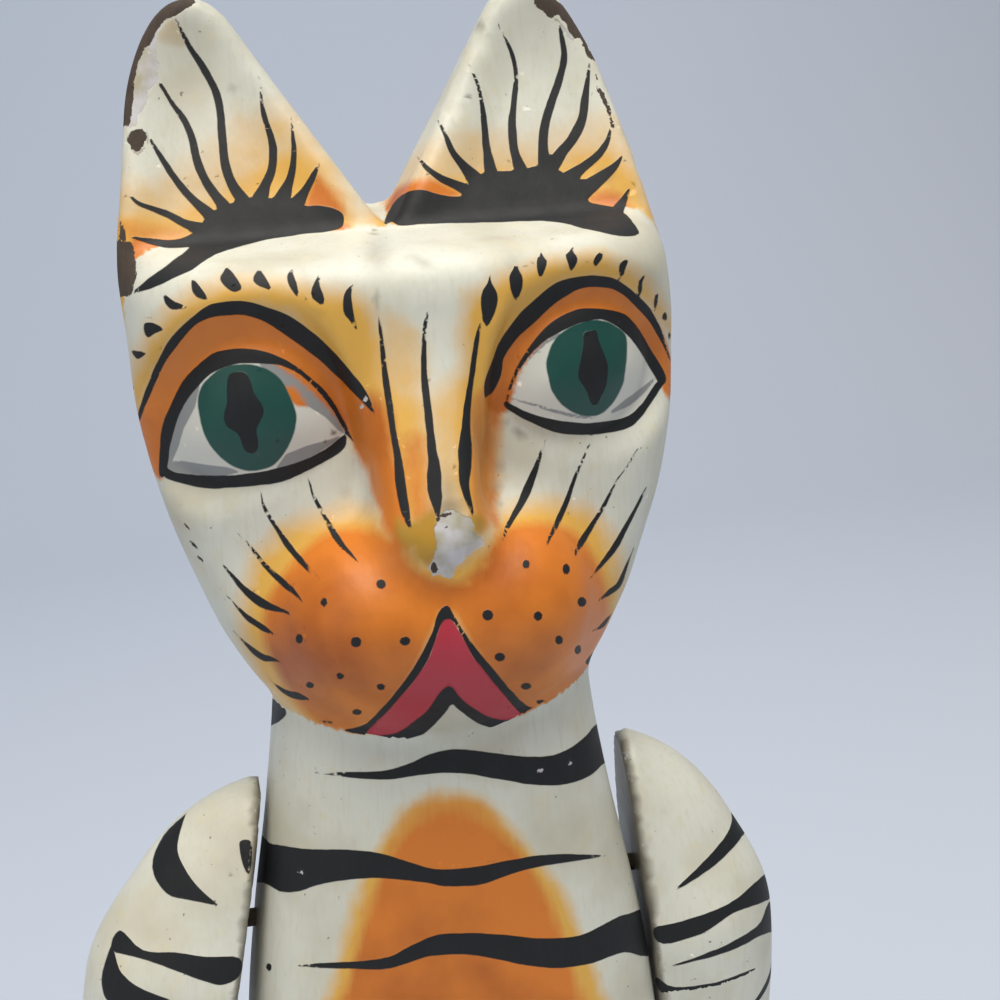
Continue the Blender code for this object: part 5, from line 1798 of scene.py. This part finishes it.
@dataclass(frozen=True)
class Studio:
    """A pale paper sweep under soft lights."""

    paper: str = "#BFC9D8"
    paper_lit: str = "#CDD3DE"
    sky: str = "#D9DCE0"
    sky_strength: float = 0.42
    half: float = 3.0
    bend_at: float = 1.2
    bend_radius: float = 0.8

    def sweep(self) -> bpy.types.Object:
        """The floor, bent up behind into a backdrop."""
        mesh = bpy.data.meshes.new("Paper_sweep")
        bm = bmesh.new()
        bmesh.ops.create_grid(bm, x_segments=2, y_segments=120, size=self.half)
        arc = 0.5 * math.pi * self.bend_radius
        for vert in bm.verts:
            past = vert.co.y - self.bend_at
            if past > 0.0:
                turn = min(past, arc) / self.bend_radius
                vert.co.y = self.bend_at + self.bend_radius * math.sin(turn)
                vert.co.z = self.bend_radius * (1.0 - math.cos(turn)) + max(past - arc, 0.0)
        bm.to_mesh(mesh)
        bm.free()
        mesh.polygons.foreach_set("use_smooth", np.ones(len(mesh.polygons), dtype=bool))
        material, tree = new_material("Matt_paper")
        at = node(tree, "ShaderNodeTexCoord").outputs["Object"]
        tooth = node(tree, "ShaderNodeTexNoise", {"Vector": at, "Scale": 300.0, "Detail": 3.0}).outputs["Fac"]
        relief = node(tree, "ShaderNodeBump", {"Height": tooth, "Strength": 0.1, "Distance": 0.0002})
        # Painted light: the paper runs from its own colour to the lighter paper_lit towards +X.
        across = node(tree, "ShaderNodeSeparateXYZ", {"Vector": at}).outputs["X"]
        lit = node(tree, "ShaderNodeMapRange", {"Value": across, "From Min": -0.7, "From Max": 1.1}).outputs["Result"]
        colour = node(tree, "ShaderNodeMix", {0: lit, 6: linear(self.paper),
                                              7: linear(self.paper_lit)}, data_type="RGBA")
        shader = node(tree, "ShaderNodeBsdfPrincipled", {
            "Base Color": colour.outputs[2], "Roughness": 0.9, "Normal": relief.outputs["Normal"],
        })
        node(tree, "ShaderNodeOutputMaterial", {"Surface": shader.outputs["BSDF"]})
        mesh.materials.append(material)
        paper = bpy.data.objects.new("Paper_sweep", mesh)
        bpy.context.scene.collection.objects.link(paper)
        return paper

    def light(self, name: str, place: Vector, target: Vector, size: float, power: float, colour: str) -> None:
        """Hangs one soft light.

        Args:
            name: the light's name.
            place: where it hangs.
            target: what it points at.
            size: the side of its square, in metres.
            power: its power in watts.
            colour: its screen colour.
        """
        data = bpy.data.lights.new(name, "AREA")
        data.size = size
        data.energy = power
        data.color = linear(colour)[:3]
        lamp = bpy.data.objects.new(name, data)
        lamp.location = place
        lamp.rotation_euler = (target - place).to_track_quat("-Z", "Y").to_euler()
        bpy.context.scene.collection.objects.link(lamp)

    def build(self) -> None:
        """Sets out the sweep, the lights and the surrounding light."""
        self.sweep()
        cat = Vector((0.0, 0.0, 0.3))
        self.light("Sky_light", Vector((-0.1, -0.5, 2.05)), cat, 1.2, 38.0, "#FFFAF0")
        self.light("Window_light", Vector((-1.4, -1.1, 0.9)), cat, 1.2, 4.0, "#FFF8EC")
        self.light("Wall_light", Vector((0.3, 0.6, 2.2)), Vector((0.2, 2.0, 0.2)), 1.0, 8.0, "#F2F3FF")
        world = bpy.data.worlds.new("Soft_room")
        world.use_nodes = True
        background = world.node_tree.nodes["Background"]
        background.inputs["Color"].default_value = linear(self.sky)
        background.inputs["Strength"].default_value = self.sky_strength
        bpy.context.scene.world = world
        bpy.context.scene.view_settings.view_transform = "Standard"


@dataclass(frozen=True)
class WoodenCat:
    """The whole figure: the body in one piece, two arms, and the peg that holds each."""

    cat: CatForm = CatForm()
    camera: PhotoCamera = PhotoCamera()
    left_splay: float = math.radians(12.5)
    right_splay: float = math.radians(5.5)
    right_twist: float = math.radians(7.0)
    left_gap: float = 3.4
    right_gap: float = 2.4
    body_cell: float = 2.6
    arm_cell: float = 2.0
    body_edges: tuple[tuple[float, float], ...] = ((1.8, 2.0), (1.1, 0.7))
    arm_sink: float = 0.06

    def arms(self) -> tuple[ArmForm, ArmForm]:
        """Both arms, hung beside the torso's flanks."""
        heights, widths = np.array(self.cat.trunk.heights), np.array(self.cat.trunk.half_widths)
        at_pin = np.array([PIN_HEIGHT])
        flank = float(curve_through(at_pin, heights, widths)[0])
        fuller_flank = flank + float(self.cat.flank(at_pin)[0])
        return (ArmForm(Side.LEFT, self.left_splay, 0.0, self.left_gap, flank),
                ArmForm(Side.RIGHT, self.right_splay, self.right_twist, self.right_gap, fuller_flank))

    def skins(self) -> tuple[Skin, Skin, Skin]:
        """The skins that stand for the carved solids."""
        brush = Brush(self.camera)
        left, right = self.arms()
        return (
            Skin("Cat_skin", "body", self.cat.depth, self.body_cell, BodyPaint(self.cat, brush),
                 crease=self.cat.chin_crease, fine_edges=self.body_edges),
            Skin("Left_arm_skin", "left_arm", left.depth, self.arm_cell, ArmPaint(left, brush, LeftArmPaint()),
                 sink=self.arm_sink),
            Skin("Right_arm_skin", "right_arm", right.depth, self.arm_cell, ArmPaint(right, brush, RightArmPaint()),
                 sink=self.arm_sink),
        )

    def build(self) -> None:
        """Makes the skins, dresses every piece and lets each skin ride."""
        paint = AgedPaint().build()
        for skin in self.skins():
            piece = skin.build()
            piece.data.materials.append(paint)
            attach(piece, "root")
            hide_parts(skin.node)
            LOG.info("%s: %d triangles", piece.name, len(piece.data.polygons))
        dowel = BareDowel().build()
        for name in ("left_shoulder_pin", "right_shoulder_pin"):
            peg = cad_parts[name]
            for holder in peg.material_slots:
                holder.material = dowel
            LOG.info("%s: dressed as a bare dowel", name)


def main() -> None:
    """Builds the figure, the studio and the camera."""
    logging.basicConfig(level=logging.INFO, format="%(name)s: %(message)s")
    WoodenCat().build()
    Studio().build()
    WoodenCat().camera.build()


if __name__ == "__main__":
    main()
